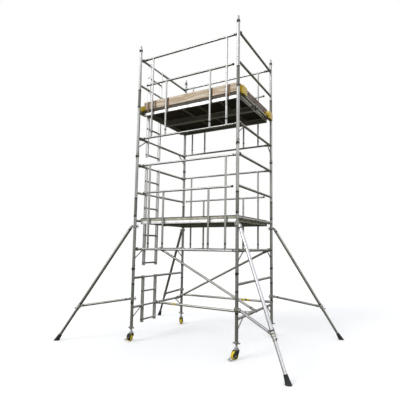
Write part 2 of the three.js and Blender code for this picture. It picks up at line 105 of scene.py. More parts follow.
# ---------------------------------------------------------------- node materials
class Look:
    """A Principled material whose patterns read the mesh's own 'grain' coordinates."""

    def __init__(self, name, **sockets):
        self.made = bpy.data.materials.new(name)
        self.made.use_nodes = True
        self.tree = self.made.node_tree
        self.shader = self.tree.nodes["Principled BSDF"]
        for socket, value in sockets.items():
            self.shader.inputs[socket.replace("_", " ")].default_value = value
        self.grain = self.node("ShaderNodeAttribute", attribute_name="grain").outputs["Vector"]

    def node(self, kind, **settings):
        made = self.tree.nodes.new(kind)
        for name, value in settings.items():
            setattr(made, name, value)
        return made

    def link(self, source, target):
        self.tree.links.new(source, target)

    def stretched(self, scale):
        mapping = self.node("ShaderNodeMapping")
        mapping.inputs["Scale"].default_value = scale
        self.link(self.grain, mapping.inputs["Vector"])
        return mapping.outputs["Vector"]

    def noise(self, scale, detail=4.0, rough=0.55, distort=0.0):
        made = self.node("ShaderNodeTexNoise")
        made.inputs["Scale"].default_value = 1.0
        made.inputs["Detail"].default_value = detail
        made.inputs["Roughness"].default_value = rough
        made.inputs["Distortion"].default_value = distort
        self.link(self.stretched(scale), made.inputs["Vector"])
        return made.outputs["Fac"]

    def cells(self, scale, feature="F1"):
        made = self.node("ShaderNodeTexVoronoi", feature=feature)
        made.inputs["Scale"].default_value = 1.0
        self.link(self.stretched(scale), made.inputs["Vector"])
        return made.outputs["Distance"]

    def wave(self, scale, direction="X", distortion=0.0, detail=2.0, kind="BANDS"):
        made = self.node("ShaderNodeTexWave", wave_type=kind, bands_direction=direction)
        made.inputs["Scale"].default_value = 1.0
        made.inputs["Distortion"].default_value = distortion
        made.inputs["Detail"].default_value = detail
        self.link(self.stretched(scale), made.inputs["Vector"])
        return made.outputs["Fac"]

    def ramp(self, source, *stops):
        made = self.node("ShaderNodeValToRGB")
        elements = made.color_ramp.elements
        while len(elements) < len(stops):
            elements.new(0.5)
        for element, (place, colour) in zip(elements, stops, strict=True):
            element.position = place
            element.color = (*colour, 1.0)
        self.link(source, made.inputs["Fac"])
        return made.outputs["Color"]

    def span(self, source, low, high, start=0.35, end=0.65):
        made = self.node("ShaderNodeMapRange")
        made.inputs["From Min"].default_value = start
        made.inputs["From Max"].default_value = end
        made.inputs["To Min"].default_value = low
        made.inputs["To Max"].default_value = high
        self.link(source, made.inputs["Value"])
        return made.outputs["Result"]

    def mix(self, share, first, second, blend="MIX"):
        made = self.node("ShaderNodeMix", data_type="RGBA", blend_type=blend)
        self.link(share, made.inputs["Factor"])
        for source, target in ((first, made.inputs["A"]), (second, made.inputs["B"])):
            if isinstance(source, tuple):
                target.default_value = (*source, 1.0)
            else:
                self.link(source, target)
        return made.outputs["Result"]

    def add(self, first, second, operation="ADD"):
        made = self.node("ShaderNodeMath", operation=operation)
        self.link(first, made.inputs[0])
        if isinstance(second, float):
            made.inputs[1].default_value = second
        else:
            self.link(second, made.inputs[1])
        return made.outputs["Value"]

    def finish(self, colour, roughness, height, depth, strength=1.0):
        bump = self.node("ShaderNodeBump")
        bump.inputs["Strength"].default_value = strength
        bump.inputs["Distance"].default_value = depth
        self.link(height, bump.inputs["Height"])
        self.link(bump.outputs["Normal"], self.shader.inputs["Normal"])
        self.link(colour, self.shader.inputs["Base Color"])
        self.link(roughness, self.shader.inputs["Roughness"])
        return self.made


def drawn_aluminium(name, light, dark, stain, rough_low, rough_high):
    """Tube with fine drawing lines along it, dull oxide patches and handling marks."""
    look = Look(name, Metallic=0.88)
    lines = look.noise((240, 240, 3), detail=3)
    patches = look.noise((9, 9, 1.6), detail=5, rough=0.55)
    specks = look.noise((90, 90, 34), detail=3)
    colour = look.ramp(patches, (0.34, dark), (0.56, light))
    colour = look.mix(look.span(specks, 0, 0.55, 0.6, 0.74), colour, stain)
    colour = look.mix(look.span(lines, 0, 0.22, 0.4, 0.7), colour, dark)
    wear = look.add(patches, look.add(lines, 0.35, "MULTIPLY"))
    roughness = look.span(wear, rough_high, rough_low, 0.5, 0.8)
    return look.finish(colour, roughness, look.add(lines, look.add(specks, 0.5, "MULTIPLY")), 0.00025, 0.5)


def cast_metal(name, light, dark, metallic=0.85):
    look = Look(name, Metallic=metallic)
    skin = look.noise((420, 420, 420), detail=3)
    wear = look.noise((34, 34, 34), detail=5)
    colour = look.ramp(wear, (0.36, dark), (0.6, light))
    return look.finish(colour, look.span(wear, 0.62, 0.38), look.add(skin, wear), 0.0004, 0.6)


def weld_metal():
    look = Look("weld_metal", Metallic=0.9)
    skin = look.noise((260, 260, 260), detail=3)
    soot = look.noise((45, 45, 45))
    colour = look.ramp(soot, (0.38, (0.36, 0.35, 0.33)), (0.6, (0.66, 0.66, 0.65)))
    return look.finish(colour, look.span(skin, 0.32, 0.55), skin, 0.0003, 0.5)


def galvanised(name, light, dark):
    """Zinc with its crystal spangle and dull run marks."""
    look = Look(name, Metallic=0.8)
    spangle = look.cells((150, 150, 150))
    dirt = look.noise((22, 22, 9), detail=5)
    colour = look.ramp(spangle, (0.15, light), (0.75, dark))
    colour = look.mix(look.span(dirt, 0, 0.6, 0.54, 0.72), colour, (0.3, 0.28, 0.24))
    return look.finish(colour, look.span(dirt, 0.34, 0.58), look.add(spangle, dirt), 0.0002, 0.4)


def moulded(name, light, dark, grime, rough=(0.3, 0.5), coat=0.0, texture=520):
    """Moulded plastic or rubber with a fine spark texture and patches of grime."""
    look = Look(name, Metallic=0.0, Coat_Weight=coat, Coat_Roughness=0.25)
    skin = look.noise((texture, texture, texture), detail=2)
    tone = look.noise((12, 12, 12), detail=5)
    scuff = look.noise((46, 46, 130), detail=6, rough=0.7)
    colour = look.ramp(tone, (0.35, dark), (0.62, light))
    colour = look.mix(look.span(scuff, 0, 0.65, 0.57, 0.74), colour, grime)
    return look.finish(colour, look.span(scuff, *rough), look.add(skin, scuff), 0.0003, 0.35)


def sleeve_wrap():
    """The dull printed wrap on a leg: rows of blank panels, scuffed back to the film."""
    look = Look("sleeve_wrap", Metallic=0.35)
    panels = look.wave((0, 0, 26), "Z", distortion=0.4)
    scuff = look.noise((60, 60, 14), detail=6, rough=0.65)
    colour = look.ramp(panels, (0.42, (0.17, 0.18, 0.155)), (0.52, (0.235, 0.245, 0.215)))
    colour = look.mix(look.span(scuff, 0, 0.7, 0.55, 0.72), colour, (0.42, 0.42, 0.39))
    return look.finish(colour, look.span(scuff, 0.42, 0.62), scuff, 0.0002, 0.4)


def anti_slip_ply():
    """Brown phenolic film pressed with a square mesh, worn and dusty where people tread."""
    look = Look("anti_slip_ply", Metallic=0.0)
    across = look.wave((110, 0, 0), "X")
    along = look.wave((0, 110, 0), "Y")
    mesh = look.add(across, along, "MINIMUM")
    dust = look.noise((5, 5, 5), detail=7, rough=0.65)
    scratch = look.noise((14, 160, 40), detail=4, distort=0.6)
    colour = look.ramp(mesh, (0.1, (0.035, 0.022, 0.015)), (0.7, (0.095, 0.06, 0.04)))
    colour = look.mix(look.span(dust, 0, 0.75, 0.46, 0.68), colour, (0.27, 0.24, 0.2))
    colour = look.mix(look.span(scratch, 0, 0.5, 0.66, 0.74), colour, (0.32, 0.26, 0.2))
    return look.finish(colour, look.span(dust, 0.45, 0.8), look.add(mesh, dust), 0.0007, 0.6)


def smooth_ply():
    """The smooth film of a board's underside, with water stains and plies showing as bands."""
    look = Look("smooth_ply", Metallic=0.0)
    stain = look.noise((4, 6, 6), detail=6, rough=0.6)
    plies = look.wave((0, 0, 190), "Z", distortion=1.5)
    fibre = look.noise((6, 220, 220), detail=3)
    colour = look.ramp(stain, (0.35, (0.028, 0.021, 0.017)), (0.66, (0.062, 0.047, 0.036)))
    colour = look.mix(look.span(plies, 0, 0.35, 0.55, 0.75), colour, (0.13, 0.09, 0.06))
    return look.finish(colour, look.span(stain, 0.5, 0.75), look.add(fibre, plies), 0.0003, 0.5)


def sawn_wood(name, light, middle, dark, grey):
    """Sawn softwood: growth rings run along the board, with a few knots and grey weathering."""
    look = Look(name, Metallic=0.0)
    rings = look.wave((3.2, 60, 34), "Y", distortion=5.5, detail=3)
    fibre = look.noise((9, 460, 460), detail=4)
    weather = look.noise((2.4, 9, 9), detail=6, rough=0.62)
    knots = look.cells((2.6, 9, 9))
    colour = look.ramp(rings, (0.12, dark), (0.42, middle), (0.8, light))
    colour = look.mix(look.span(fibre, 0, 0.3, 0.5, 0.7), colour, dark)
    colour = look.mix(look.span(weather, 0, 0.55, 0.5, 0.74), colour, grey)
    colour = look.mix(look.span(knots, 0.85, 0, 0.035, 0.075), colour, tuple(0.35 * part for part in dark))
    return look.finish(colour, look.span(fibre, 0.62, 0.86), look.add(fibre, rings), 0.0006, 0.55)


def painted_steel():
    """Dark painted pressing, chipped to bare metal in specks."""
    look = Look("painted_steel", Metallic=0.45)
    chips = look.noise((70, 70, 70), detail=6, rough=0.7)
    tone = look.noise((14, 14, 14))
    colour = look.ramp(tone, (0.35, (0.045, 0.05, 0.04)), (0.65, (0.1, 0.107, 0.085)))
    colour = look.mix(look.span(chips, 0, 0.9, 0.62, 0.66), colour, (0.42, 0.4, 0.36))
    return look.finish(colour, look.span(chips, 0.38, 0.6), look.add(chips, tone), 0.0003, 0.5)


LOOKS = {
    "tube": drawn_aluminium(
        "tube_metal", (0.5, 0.5, 0.49), (0.4, 0.4, 0.38), (0.24, 0.24, 0.2), 0.3, 0.46),
    "rung": drawn_aluminium(
        "rung_metal", (0.46, 0.455, 0.42), (0.35, 0.345, 0.31), (0.2, 0.2, 0.16), 0.36, 0.54),
    "rail": drawn_aluminium(
        "rail_metal", (0.56, 0.56, 0.55), (0.45, 0.45, 0.43), (0.28, 0.28, 0.24), 0.3, 0.46),
    "brace": drawn_aluminium(
        "brace_metal", (0.6, 0.585, 0.54), (0.5, 0.485, 0.44), (0.3, 0.29, 0.24), 0.34, 0.5),
    "stay": drawn_aluminium(
        "stay_metal", (0.44, 0.435, 0.4), (0.34, 0.335, 0.3), (0.2, 0.2, 0.16), 0.34, 0.5),
    # A lighter copy of the stay metal for the front right stabiliser: painted highlight.
    "stay_painted_highlight": drawn_aluminium(
        "stay_metal_painted_highlight", (0.74, 0.74, 0.76), (0.62, 0.62, 0.64), (0.42, 0.42, 0.42), 0.32, 0.46),
    "stile": drawn_aluminium(
        "stile_metal", (0.72, 0.72, 0.72), (0.58, 0.58, 0.57), (0.36, 0.36, 0.33), 0.34, 0.5),
    # Lighter aluminium for the deck's beams and cross bars, which sit under the board: painted light.
    "beam": drawn_aluminium(
        "beam_metal_painted_light", (0.78, 0.78, 0.775), (0.64, 0.64, 0.63), (0.42, 0.42, 0.39), 0.38, 0.55),
    "cross_bar_painted_light": drawn_aluminium(
        "cross_bar_metal_painted_light", (0.7, 0.69, 0.64), (0.54, 0.53, 0.48), (0.3, 0.29, 0.25), 0.5, 0.7),
    "claw": cast_metal("claw_casting", (0.56, 0.56, 0.54), (0.27, 0.27, 0.25)),
    "coupler": cast_metal("coupler_casting", (0.62, 0.61, 0.58), (0.33, 0.32, 0.29)),
    "weld": weld_metal(),
    "zinc": galvanised("zinc_plate", (0.72, 0.72, 0.7), (0.46, 0.46, 0.45)),
    "bolt": galvanised("bolt_zinc", (0.62, 0.6, 0.55), (0.4, 0.38, 0.34)),
    "fork": painted_steel(),
    "sleeve": sleeve_wrap(),
    "black": moulded("black_plastic", (0.035, 0.035, 0.036), (0.018, 0.018, 0.019), (0.12, 0.115, 0.105)),
    "rubber": moulded(
        "black_rubber", (0.024, 0.024, 0.025), (0.011, 0.011, 0.012), (0.1, 0.09, 0.075), (0.5, 0.75)),
    "yellow": moulded(
        "yellow_moulding", (0.86, 0.62, 0.012), (0.72, 0.46, 0.008), (0.34, 0.22, 0.03), (0.22, 0.4), 0.35),
    "tyre": moulded("yellow_tread", (0.88, 0.7, 0.03), (0.76, 0.55, 0.02), (0.3, 0.22, 0.08), (0.35, 0.6)),
    "hub": moulded("dark_hub", (0.04, 0.044, 0.032), (0.02, 0.022, 0.016), (0.13, 0.12, 0.09), (0.35, 0.55)),
    "band": moulded("yellow_band", (0.84, 0.66, 0.03), (0.7, 0.52, 0.02), (0.3, 0.25, 0.1), (0.35, 0.5)),
    "ply_top": anti_slip_ply(),
    "ply_under": smooth_ply(),
    # A dark brown strip: partly the brown of the ply edge, partly painted shade on the side beam's upper web.
    "ply_brown_and_painted_shade": moulded("ply_brown_and_painted_shade_strip", (0.105, 0.085, 0.062), (0.055, 0.044, 0.033), (0.2, 0.17, 0.13), (0.5, 0.7)),
    "edge": moulded("pale_edge", (0.62, 0.61, 0.52), (0.4, 0.39, 0.3), (0.22, 0.2, 0.14), (0.5, 0.7)),
    "pine": sawn_wood(
        "pine_wood", (0.93, 0.81, 0.66), (0.86, 0.72, 0.56), (0.66, 0.5, 0.34), (0.76, 0.68, 0.58)),
    # A darker copy of the pine, given to the end boards: painted shade.
    "pine_painted_shade": sawn_wood(
        "pine_wood_painted_shade", (0.4, 0.335, 0.28), (0.31, 0.25, 0.205), (0.17, 0.13, 0.1), (0.3, 0.27, 0.24)),
    "dark_strip": sawn_wood(
        "dark_strip_wood", (0.34, 0.24, 0.14), (0.26, 0.175, 0.1), (0.15, 0.095, 0.05), (0.24, 0.2, 0.15)),
}


# ---------------------------------------------------------------- mesh helpers
class Shell:
    """Gathers closed skins, each with a material and grain coordinates, into one mesh object."""

    def __init__(self, base=None):
        self.base = base or Matrix.Identity(4)
        self.points, self.grain, self.faces, self.indices, self.names = [], [], [], [], []
        self.count = 0

    def add(self, skin, look, place=None):
        points, faces = skin
        matrix = np.array(self.base @ (place or Matrix.Identity(4)))
        start = Vector([rng.uniform(-3, 3) for _ in range(3)])
        if look not in self.names:
            self.names.append(look)
        self.points.append(points @ matrix[:3, :3].T + matrix[:3, 3])
        self.grain.append(points + np.array(start))
        self.faces += [tuple(corner + self.count for corner in face) for face in faces]
        self.indices += [self.names.index(look)] * len(faces)
        self.count += len(points)

    def piece(self, name, body, replaces=(), slot=None, sharp=38):
        mesh = bpy.data.meshes.new(name)
        mesh.from_pydata(np.concatenate(self.points).tolist(), [], self.faces)
        for look in self.names:
            mesh.materials.append(LOOKS[look])
        mesh.polygons.foreach_set("material_index", self.indices)
        grain = mesh.attributes.new("grain", "FLOAT_VECTOR", "POINT")
        grain.data.foreach_set("vector", np.concatenate(self.grain).astype(np.float32).ravel())
        shaped = bmesh.new()
        shaped.from_mesh(mesh)
        bmesh.ops.recalc_face_normals(shaped, faces=shaped.faces)
        shaped.to_mesh(mesh)
        shaped.free()
        mesh.shade_smooth()
        mesh.set_sharp_from_angle(angle=math.radians(sharp))
        made = bpy.data.objects.new(name, mesh)
        bpy.context.scene.collection.objects.link(made)
        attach(made, body)
        if replaces:
            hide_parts(*replaces)
        return made


def loft(loops, ring=False):
    """The skin through loops of equal length, closed as a ring or else capped at both ends."""
    loops = np.asarray(loops, float)
    rows, sides = loops.shape[:2]
    corner = np.arange(rows * sides).reshape(rows, sides)
    faces = []
    for row in range(rows if ring else rows - 1):
        here, there = corner[row], corner[(row + 1) % rows]
        faces += zip(here, np.roll(here, -1), np.roll(there, -1), there)
    if not ring:
        faces += [tuple(corner[0][::-1]), tuple(corner[-1])]
    return loops.reshape(-1, 3), [tuple(int(c) for c in face) for face in faces]


def flat(section, height):
    section = np.asarray(section, float)
    return np.column_stack([section, np.broadcast_to(height, len(section))])


def circle(radius, sides=32, phase=0.0):
    turn = np.arange(sides) * 2 * math.pi / sides + phase
    return radius * np.column_stack([np.cos(turn), np.sin(turn)])


def turned(profile, sides=32, ring=False):
    """A profile of (radius, height) pairs turned about Z."""
    return loft([flat(circle(r, sides), z) for r, z in profile], ring)


def arc(centre, radius, start, end, steps):
    """Points on an arc, angles in degrees."""
    turn = np.radians(np.linspace(start, end, steps + 1))
    return [(centre[0] + radius * math.cos(t), centre[1] + radius * math.sin(t)) for t in turn]


def strip(outer, inner, start, end, steps):
    """A bent strip about the origin between two radii, angles in degrees."""
    return arc((0, 0), outer, start, end, steps) + arc((0, 0), inner, end, start, steps)


def rounded(low, high, radius, steps=3):
    """A rectangle with round corners, counter-clockwise."""
    (x0, y0), (x1, y1) = low, high
    corners = ((x1, y0, -90), (x1, y1, 0), (x0, y1, 90), (x0, y0, 180))
    points = []
    for x, y, start in corners:
        centre = (x - math.copysign(radius, x - (x0 + x1) / 2), y - math.copysign(radius, y - (y0 + y1) / 2))
        points += arc(centre, radius, start, start + 90, steps)
    return points


def inset(outline, distance):
    """A counter-clockwise outline moved inwards."""
    here = np.asarray(outline, float)
    ahead = np.roll(here, -1, 0) - here
    ahead /= np.linalg.norm(ahead, axis=1, keepdims=True)
    inward = np.column_stack([-ahead[:, 1], ahead[:, 0]])
    before = np.roll(inward, 1, 0)
    share = 1 + (inward * before).sum(1, keepdims=True)
    return here + distance * (inward + before) / np.maximum(share, 0.4)


def plate(outline, low, high, chamfer=0.0008):
    """A counter-clockwise outline made a solid from low to high along Z, its edges broken."""
    inner = inset(outline, chamfer)
    steps = ((inner, low), (outline, low + chamfer), (outline, high - chamfer), (inner, high))
    return loft([flat(loop, z) for loop, z in steps])


def slab(low, high, chamfer=0.0012):
    """A block between two corners with broken edges."""
    outline = rounded(low[:2], high[:2], chamfer * 1.2, 2)
    return plate(outline, low[2], high[2], chamfer)


def toward(start, end):
    """(matrix with its Z axis from start to end, the distance)."""
    start, end = Vector(start), Vector(end)
    along = end - start
    return Matrix.Translation(start) @ along.to_track_quat("Z", "Y").to_matrix().to_4x4(), along.length


def sweep(path, radius, sides=10, closed=False):
    """A round bar along a path of points."""
    path = [Vector(p) for p in path]
    count = len(path)
    loops, across = [], None
    for i, here in enumerate(path):
        ahead = path[(i + 1) % count] if closed or i + 1 < count else here
        behind = path[i - 1] if closed or i else here
        along = (ahead - behind).normalized()
        if across is None:
            across = along.orthogonal()
        across = (across - along * across.dot(along)).normalized()
        other = along.cross(across)
        loops.append([here + across * x + other * y for x, y in circle(radius, sides)])
    return loft(loops, closed)


def pipe(shell, start, end, radius, wall, look, sides=32, lip=0.0006):
    place, length = toward(start, end)
    inner = radius - wall
    profile = [(inner, 0), (radius - lip, 0), (radius, lip)]
    profile += [(radius, length - lip), (radius - lip, length), (inner, length)]
    shell.add(turned(profile, sides, ring=True), look, place)


def solid_turned(shell, start, end, profile, look, sides=24):
    """A turned solid whose heights run from 0 at start to 1 at end."""
    place, length = toward(start, end)
    shell.add(turned([(r, z * length) for r, z in profile], sides), look, place)


def rod(shell, start, end, radius, look, sides=24):
    solid_turned(shell, start, end, [(radius, 0), (radius, 1)], look, sides)


def ring_band(shell, start, end, inner, outer, look, sides=32, lip=0.0008):
    pipe(shell, start, end, outer, outer - inner, look, sides, lip)


def coped(section, place, member, side):
    """The height at which each section point meets a round member (point, direction, radius)."""
    point, direction, radius = member
    back = place.inverted()
    centre = np.array(back @ Vector(point))
    axis = np.array((back.to_3x3() @ Vector(direction)).normalized())
    off = flat(section, 0.0) - centre
    off = off - np.outer(off @ axis, axis)
    ray = np.array([0, 0, 1.0]) - axis[2] * axis
    a, b = ray @ ray, off @ ray
    c = (off * off).sum(1) - radius * radius
    return (-b + side * np.sqrt(np.maximum(b * b - a * c, 0))) / a


def weld_bead(shell, place, radius, heights, ripples=26, size=0.0032):
    """A rippled bead round a strut; heights is its seam at each of its points."""
    turn = np.arange(len(heights)) * 2 * math.pi / len(heights)
    out = np.column_stack([np.cos(turn), np.sin(turn), np.zeros(len(turn))])
    seam = out * radius
    seam[:, 2] = heights
    thick = size * (1 + 0.16 * np.sin(ripples * turn))[:, None]
    loops = [seam + thick * (math.cos(s) * out + math.sin(s) * np.array([0, 0, 1.0]))
             for s in np.arange(6) * math.pi / 3]
    shell.add(loft(loops, ring=True), "weld", place)


def strut(shell, start, end, section, look, onto=(None, None), welds=True):
    """A member from start to end, coped and welded onto round members, or welded flat where there is none."""
    place, length = toward(start, end)
    section = np.asarray(section, float)
    radius = float(np.linalg.norm(section, axis=1).max())
    seam = circle(radius, 52)
    ends = []
    for member, flat_end, side in ((onto[0], 0.0, 1), (onto[1], length, -1)):
        if member is None:
            heights, bead = np.full(len(section), flat_end - side * EMBED), np.full(len(seam), flat_end)
        else:
            heights = coped(section, place, member, side) - side * EMBED
            bead = coped(seam, place, member, side)
        ends.append(flat(section, heights))
        if welds:
            weld_bead(shell, place, radius, bead)
    shell.add(loft(ends), look, place)


def ribbed(radius, ribs=22, depth=0.0007):
    """The grip section of a rung: shallow flutes all round."""
    turn = np.arange(ribs * 4) * math.pi / (2 * ribs)
    reach = radius - depth * (1 - np.cos(ribs * turn)) / 2
    return np.column_stack([reach * np.cos(turn), reach * np.sin(turn)])


def dome(shell, centre, direction, radius, height, look, sides=14):
    """A rivet or button head."""
    place, _ = toward(centre, Vector(centre) + Vector(direction))
    profile = ((1, -0.6), (1, 0.25), (0.86, 0.7), (0.5, 1))
    shell.add(turned([(radius * r, height * z) for r, z in profile], sides), look, place)


def hex_head(shell, centre, direction, radius, height, look="bolt"):
    """A bolt head or nut on its washer, standing on centre."""
    place, _ = toward(centre, Vector(centre) + Vector(direction))
    shell.add(turned([(radius * 1.35, 0), (radius * 1.35, height * 0.22)], 20), look, place)
    profile = [(radius, height * 0.2), (radius, height * 0.86), (radius * 0.84, height)]
    shell.add(turned(profile, 6), look, place)
    shell.add(turned([(radius * 0.55, height * 0.9), (radius * 0.5, height * 1.25)], 14), look, place)


UPRIGHT = Matrix(((1, 0, 0, 0), (0, 0, -1, 0), (0, 1, 0, 0), (0, 0, 0, 1)))  # outline X, Y become X, Z


# ---------------------------------------------------------------- end frames
def end_frame(kind, level, rungs, x, foot):
    name = f"{kind}_frame_{level}"
    top = foot + LEG_BELOW + (rungs - 1) * RUNG_PITCH + LEG_ABOVE
    shell, wraps, clips = Shell(), Shell(), Shell()
    legs = {y: ((x, y, 0), UP, LEG_R) for y in (-HALF_WIDTH, HALF_WIDTH)}
    for y in legs:
        inward = -math.copysign(1, y)
        pipe(shell, (x, y, foot + GAP), (x, y, top - GAP), LEG_R, LEG_WALL, "tube", 40)
        spigot(shell, (x, y, top))
        ring_band(shell, (x, y, top - 0.022), (x, y, top - 0.002), LEG_R - 0.001, LEG_R + 0.0009, "rung", 40)
        ring_band(shell, (x, y, foot + 0.002), (x, y, foot + 0.03), LEG_R - 0.001, LEG_R + 0.0012, "rung", 40)
        interlock_clip(clips, x, y, top, inward, level != "top")
        knee_top = (x, y + inward * KNEE_ALONG, foot + LEG_BELOW)
        knee_foot = (x, y, foot + LEG_BELOW - KNEE_DOWN)
        rung_member = (knee_top, (0, 1, 0), RUNG_R)
        strut(shell, knee_foot, knee_top, circle(KNEE_R, 18), "tube", (legs[y], rung_member))
        leg_wrap(wraps, x, y, foot + LEG_BELOW + (rungs // 2 - 1) * RUNG_PITCH)
    stile_half = STILE_WIDTH / 2
    for number in range(rungs):
        z = foot + LEG_BELOW + number * RUNG_PITCH
        ends = [(-HALF_WIDTH, HALF_WIDTH, (legs[-HALF_WIDTH], legs[HALF_WIDTH]))]
        if kind == "ladder":
            ends = [
                (-HALF_WIDTH, STILE_NEAR - stile_half, (legs[-HALF_WIDTH], None)),
                (STILE_FAR + stile_half, HALF_WIDTH, (None, legs[HALF_WIDTH])),
            ]
        for y0, y1, onto in ends:
            strut(shell, (x, y0, z), (x, y1, z), ribbed(RUNG_R), "rung", onto)
    if kind == "ladder":
        ladder(shell, wraps, x, foot, foot + LEG_BELOW + (rungs - 1) * RUNG_PITCH)
    shell.piece(f"{name}_weldment", "tower", [name], "tube_aluminium")
    wraps.piece(f"{name}_wraps", "tower")
    clips.piece(f"{name}_interlock_clips", "tower", slot="zinc_steel")


def spigot(shell, leg_top):
    """The joint spigot: a tube pressed into the leg, swaged down to a narrow lead-in at its tip."""
    profile = [(SPIGOT_R - 0.002, -SPIGOT_IN), (SPIGOT_R, -SPIGOT_IN), (SPIGOT_R, 0.03), (0.0205, 0.036)]
    profile += [(0.0165, 0.052), (0.0155, SPIGOT_UP - 0.003), (0.0135, SPIGOT_UP), (0.0115, SPIGOT_UP)]
    profile += [(0.0125, 0.05), (SPIGOT_R - 0.002, 0.03)]
    shell.add(turned(profile, 32, ring=True), "tube", Matrix.Translation(leg_top))


def ladder(shell, wraps, x, foot, top_rung):
    """Two box stiles with closer rungs between them, and a plug in each open end."""
    low, high = foot + LEG_BELOW - LADDER_PITCH - STILE_TAIL, top_rung + RUNG_R
    dx, dy = STILE_DEPTH / 2, STILE_WIDTH / 2
    outer = np.array(rounded((-dx, -dy), (dx, dy), 0.0035))
    inner = np.array(rounded((STILE_WALL - dx, STILE_WALL - dy), (dx - STILE_WALL, dy - STILE_WALL), 0.001))
    rungs = np.arange(foot + LEG_BELOW - LADDER_PITCH, top_rung + 0.001, LADDER_PITCH)
    for y in (STILE_NEAR, STILE_FAR):
        place = Matrix.Translation((x, y, 0))
        loops = [flat(inner, low), flat(outer, low), flat(outer, high), flat(inner, high)]
        shell.add(loft(loops, ring=True), "stile", place)
        for cap, stem in ((low - 0.004, low), (high, high - 0.012)):
            wraps.add(plate(outer * 1.02, cap, cap + 0.004, 0.0012), "black", place)
            wraps.add(plate(inset(inner, 0.0003), stem - 0.001, stem + 0.013, 0.0008), "black", place)
        for z in rungs:
            dome(wraps, (x, y - dy, z), (0, -1, 0), LADDER_R + 0.001, 0.004, "black", 20)
    for z in rungs:
        ends = (x, STILE_NEAR + dy, z), (x, STILE_FAR - dy, z)
        strut(shell, *ends, ribbed(LADDER_R, 18), "rung")


def leg_wrap(wraps, x, y, lower_rung):
    """The wrap on a leg with a dark band at each end, the lower one held by a buckle."""
    low, high = lower_rung + 0.07, lower_rung + RUNG_PITCH - 0.09
    front = y - LEG_R
    ring_band(wraps, (x, y, low), (x, y, high), LEG_R, LEG_R + 0.0005, "sleeve", 40, 0.0002)
    for z in (low, high - 0.024):
        ring_band(wraps, (x, y, z), (x, y, z + 0.024), LEG_R + 0.0001, LEG_R + 0.0013, "black", 40, 0.0004)
    buckle = (x - 0.011, front - 0.0065, low - 0.006), (x + 0.011, front + 0.001, low + 0.03)
    wraps.add(slab(*buckle, 0.002), "black")


def interlock_clip(shell, x, y, joint, inward, sprung):
    """A dark collar moulding at a leg joint, with the sprung wire whose pin goes through leg and spigot."""
    collar = 0.0045
    low = joint - 0.034
    ring_band(shell, (x, y, low), (x, y, joint - 0.004), LEG_R + 0.0001, LEG_R + collar, "black", 32, 0.0014)
    outer = y - inward * (LEG_R + collar)
    tab = sorted((outer + inward * 0.003, outer - inward * 0.011))
    shell.add(slab((x - 0.009, tab[0], joint - 0.046), (x + 0.009, tab[1], joint - 0.002), 0.0025), "black")
    if not sprung:
        return
    z = joint + 0.04
    reach = LEG_R + 0.006
    path = [(x, outer - inward * 0.006, joint - 0.02), (x, outer - inward * 0.007, joint + 0.012)]
    path += [(x, y - inward * reach, z)]
    path += [(x + reach * math.sin(t), y - inward * reach * math.cos(t), z + 0.004 * math.sin(2 * t))
             for t in np.linspace(0.25, math.pi, 12)]
    path += [(x + 0.003, y + inward * (reach + 0.009), z - 0.006), (x + 0.004, y + inward * reach, z - 0.02)]
    shell.add(sweep(path, 0.0026, 8), "zinc")
    pin = (x, y - inward * (reach + 0.002), z), (x, y + inward * (LEG_R + 0.003), z)
    rod(shell, *pin, 0.0045, "zinc", 12)


foot_height = LOWEST_RUNG - LEG_BELOW
for level, rungs in LEVELS:
    end_frame("ladder", level, rungs, -HALF_LENGTH, foot_height)
    end_frame("plain", level, rungs, HALF_LENGTH, foot_height)
    foot_height += LEG_BELOW + (rungs - 1) * RUNG_PITCH + LEG_ABOVE


# ---------------------------------------------------------------- claws
def claw(castings, caps, centre, far_end, tube_r, mouth, bore_scale=1.0, about_z=False):
    """A cast hook with its spring trigger, and the socket that holds a tube's end."""
    half = CLAW_MOUTH / 2
    bore, reach = CLAW_BORE * bore_scale, CLAW_R * bore_scale
    place = Matrix.Translation(centre) @ (Matrix.Identity(4) if about_z else UPRIGHT)
    start, end = mouth + half, mouth - half + 360
    half_width = CLAW_WIDTH / 2
    castings.add(plate(strip(reach, bore, start, end, 26), -half_width, half_width, 0.0016), "claw", place)
    rib = strip(reach + 0.0028, reach - 0.003, start + 34, end - 34, 18)
    castings.add(plate(rib, -0.004, 0.004, 0.001), "claw", place)
    lever = strip(bore + 0.0068, bore + 0.0015, start - 46, start + 26, 8)
    caps.add(plate(lever, -0.006, 0.006, 0.001), "black", place)
    sideways = place.to_3x3() @ UP
    hinge, middle = math.radians(start + 14), (bore + reach) / 2
    for side in (-1, 1):
        head = place @ Vector((middle * math.cos(hinge), middle * math.sin(hinge), side * half_width))
        dome(castings, head, sideways * side, 0.0038, 0.0024, "bolt")
    along = (Vector(far_end) - Vector(centre)).normalized()
    root = Vector(centre) + along * (reach - 0.004)
    tip = Vector(centre) + along * (reach + 0.062)
    socket = tube_r + 0.0037
    profile = [(0.0165, 0), (0.019, 0.05), (socket, 0.18), (socket, 0.82), (socket - 0.0017, 0.97)]
    solid_turned(castings, root, tip, [*profile, (tube_r + 0.0003, 1)], "claw", 28)
    ring_band(caps, tip, tip + along * 0.016, tube_r, tube_r + 0.0016, "black", 28)
    for side in (-1, 1):
        rivet = root + along * 0.03 + sideways * side * (socket - 0.0004)
        dome(castings, rivet, sideways * side, 0.005, 0.003, "bolt")


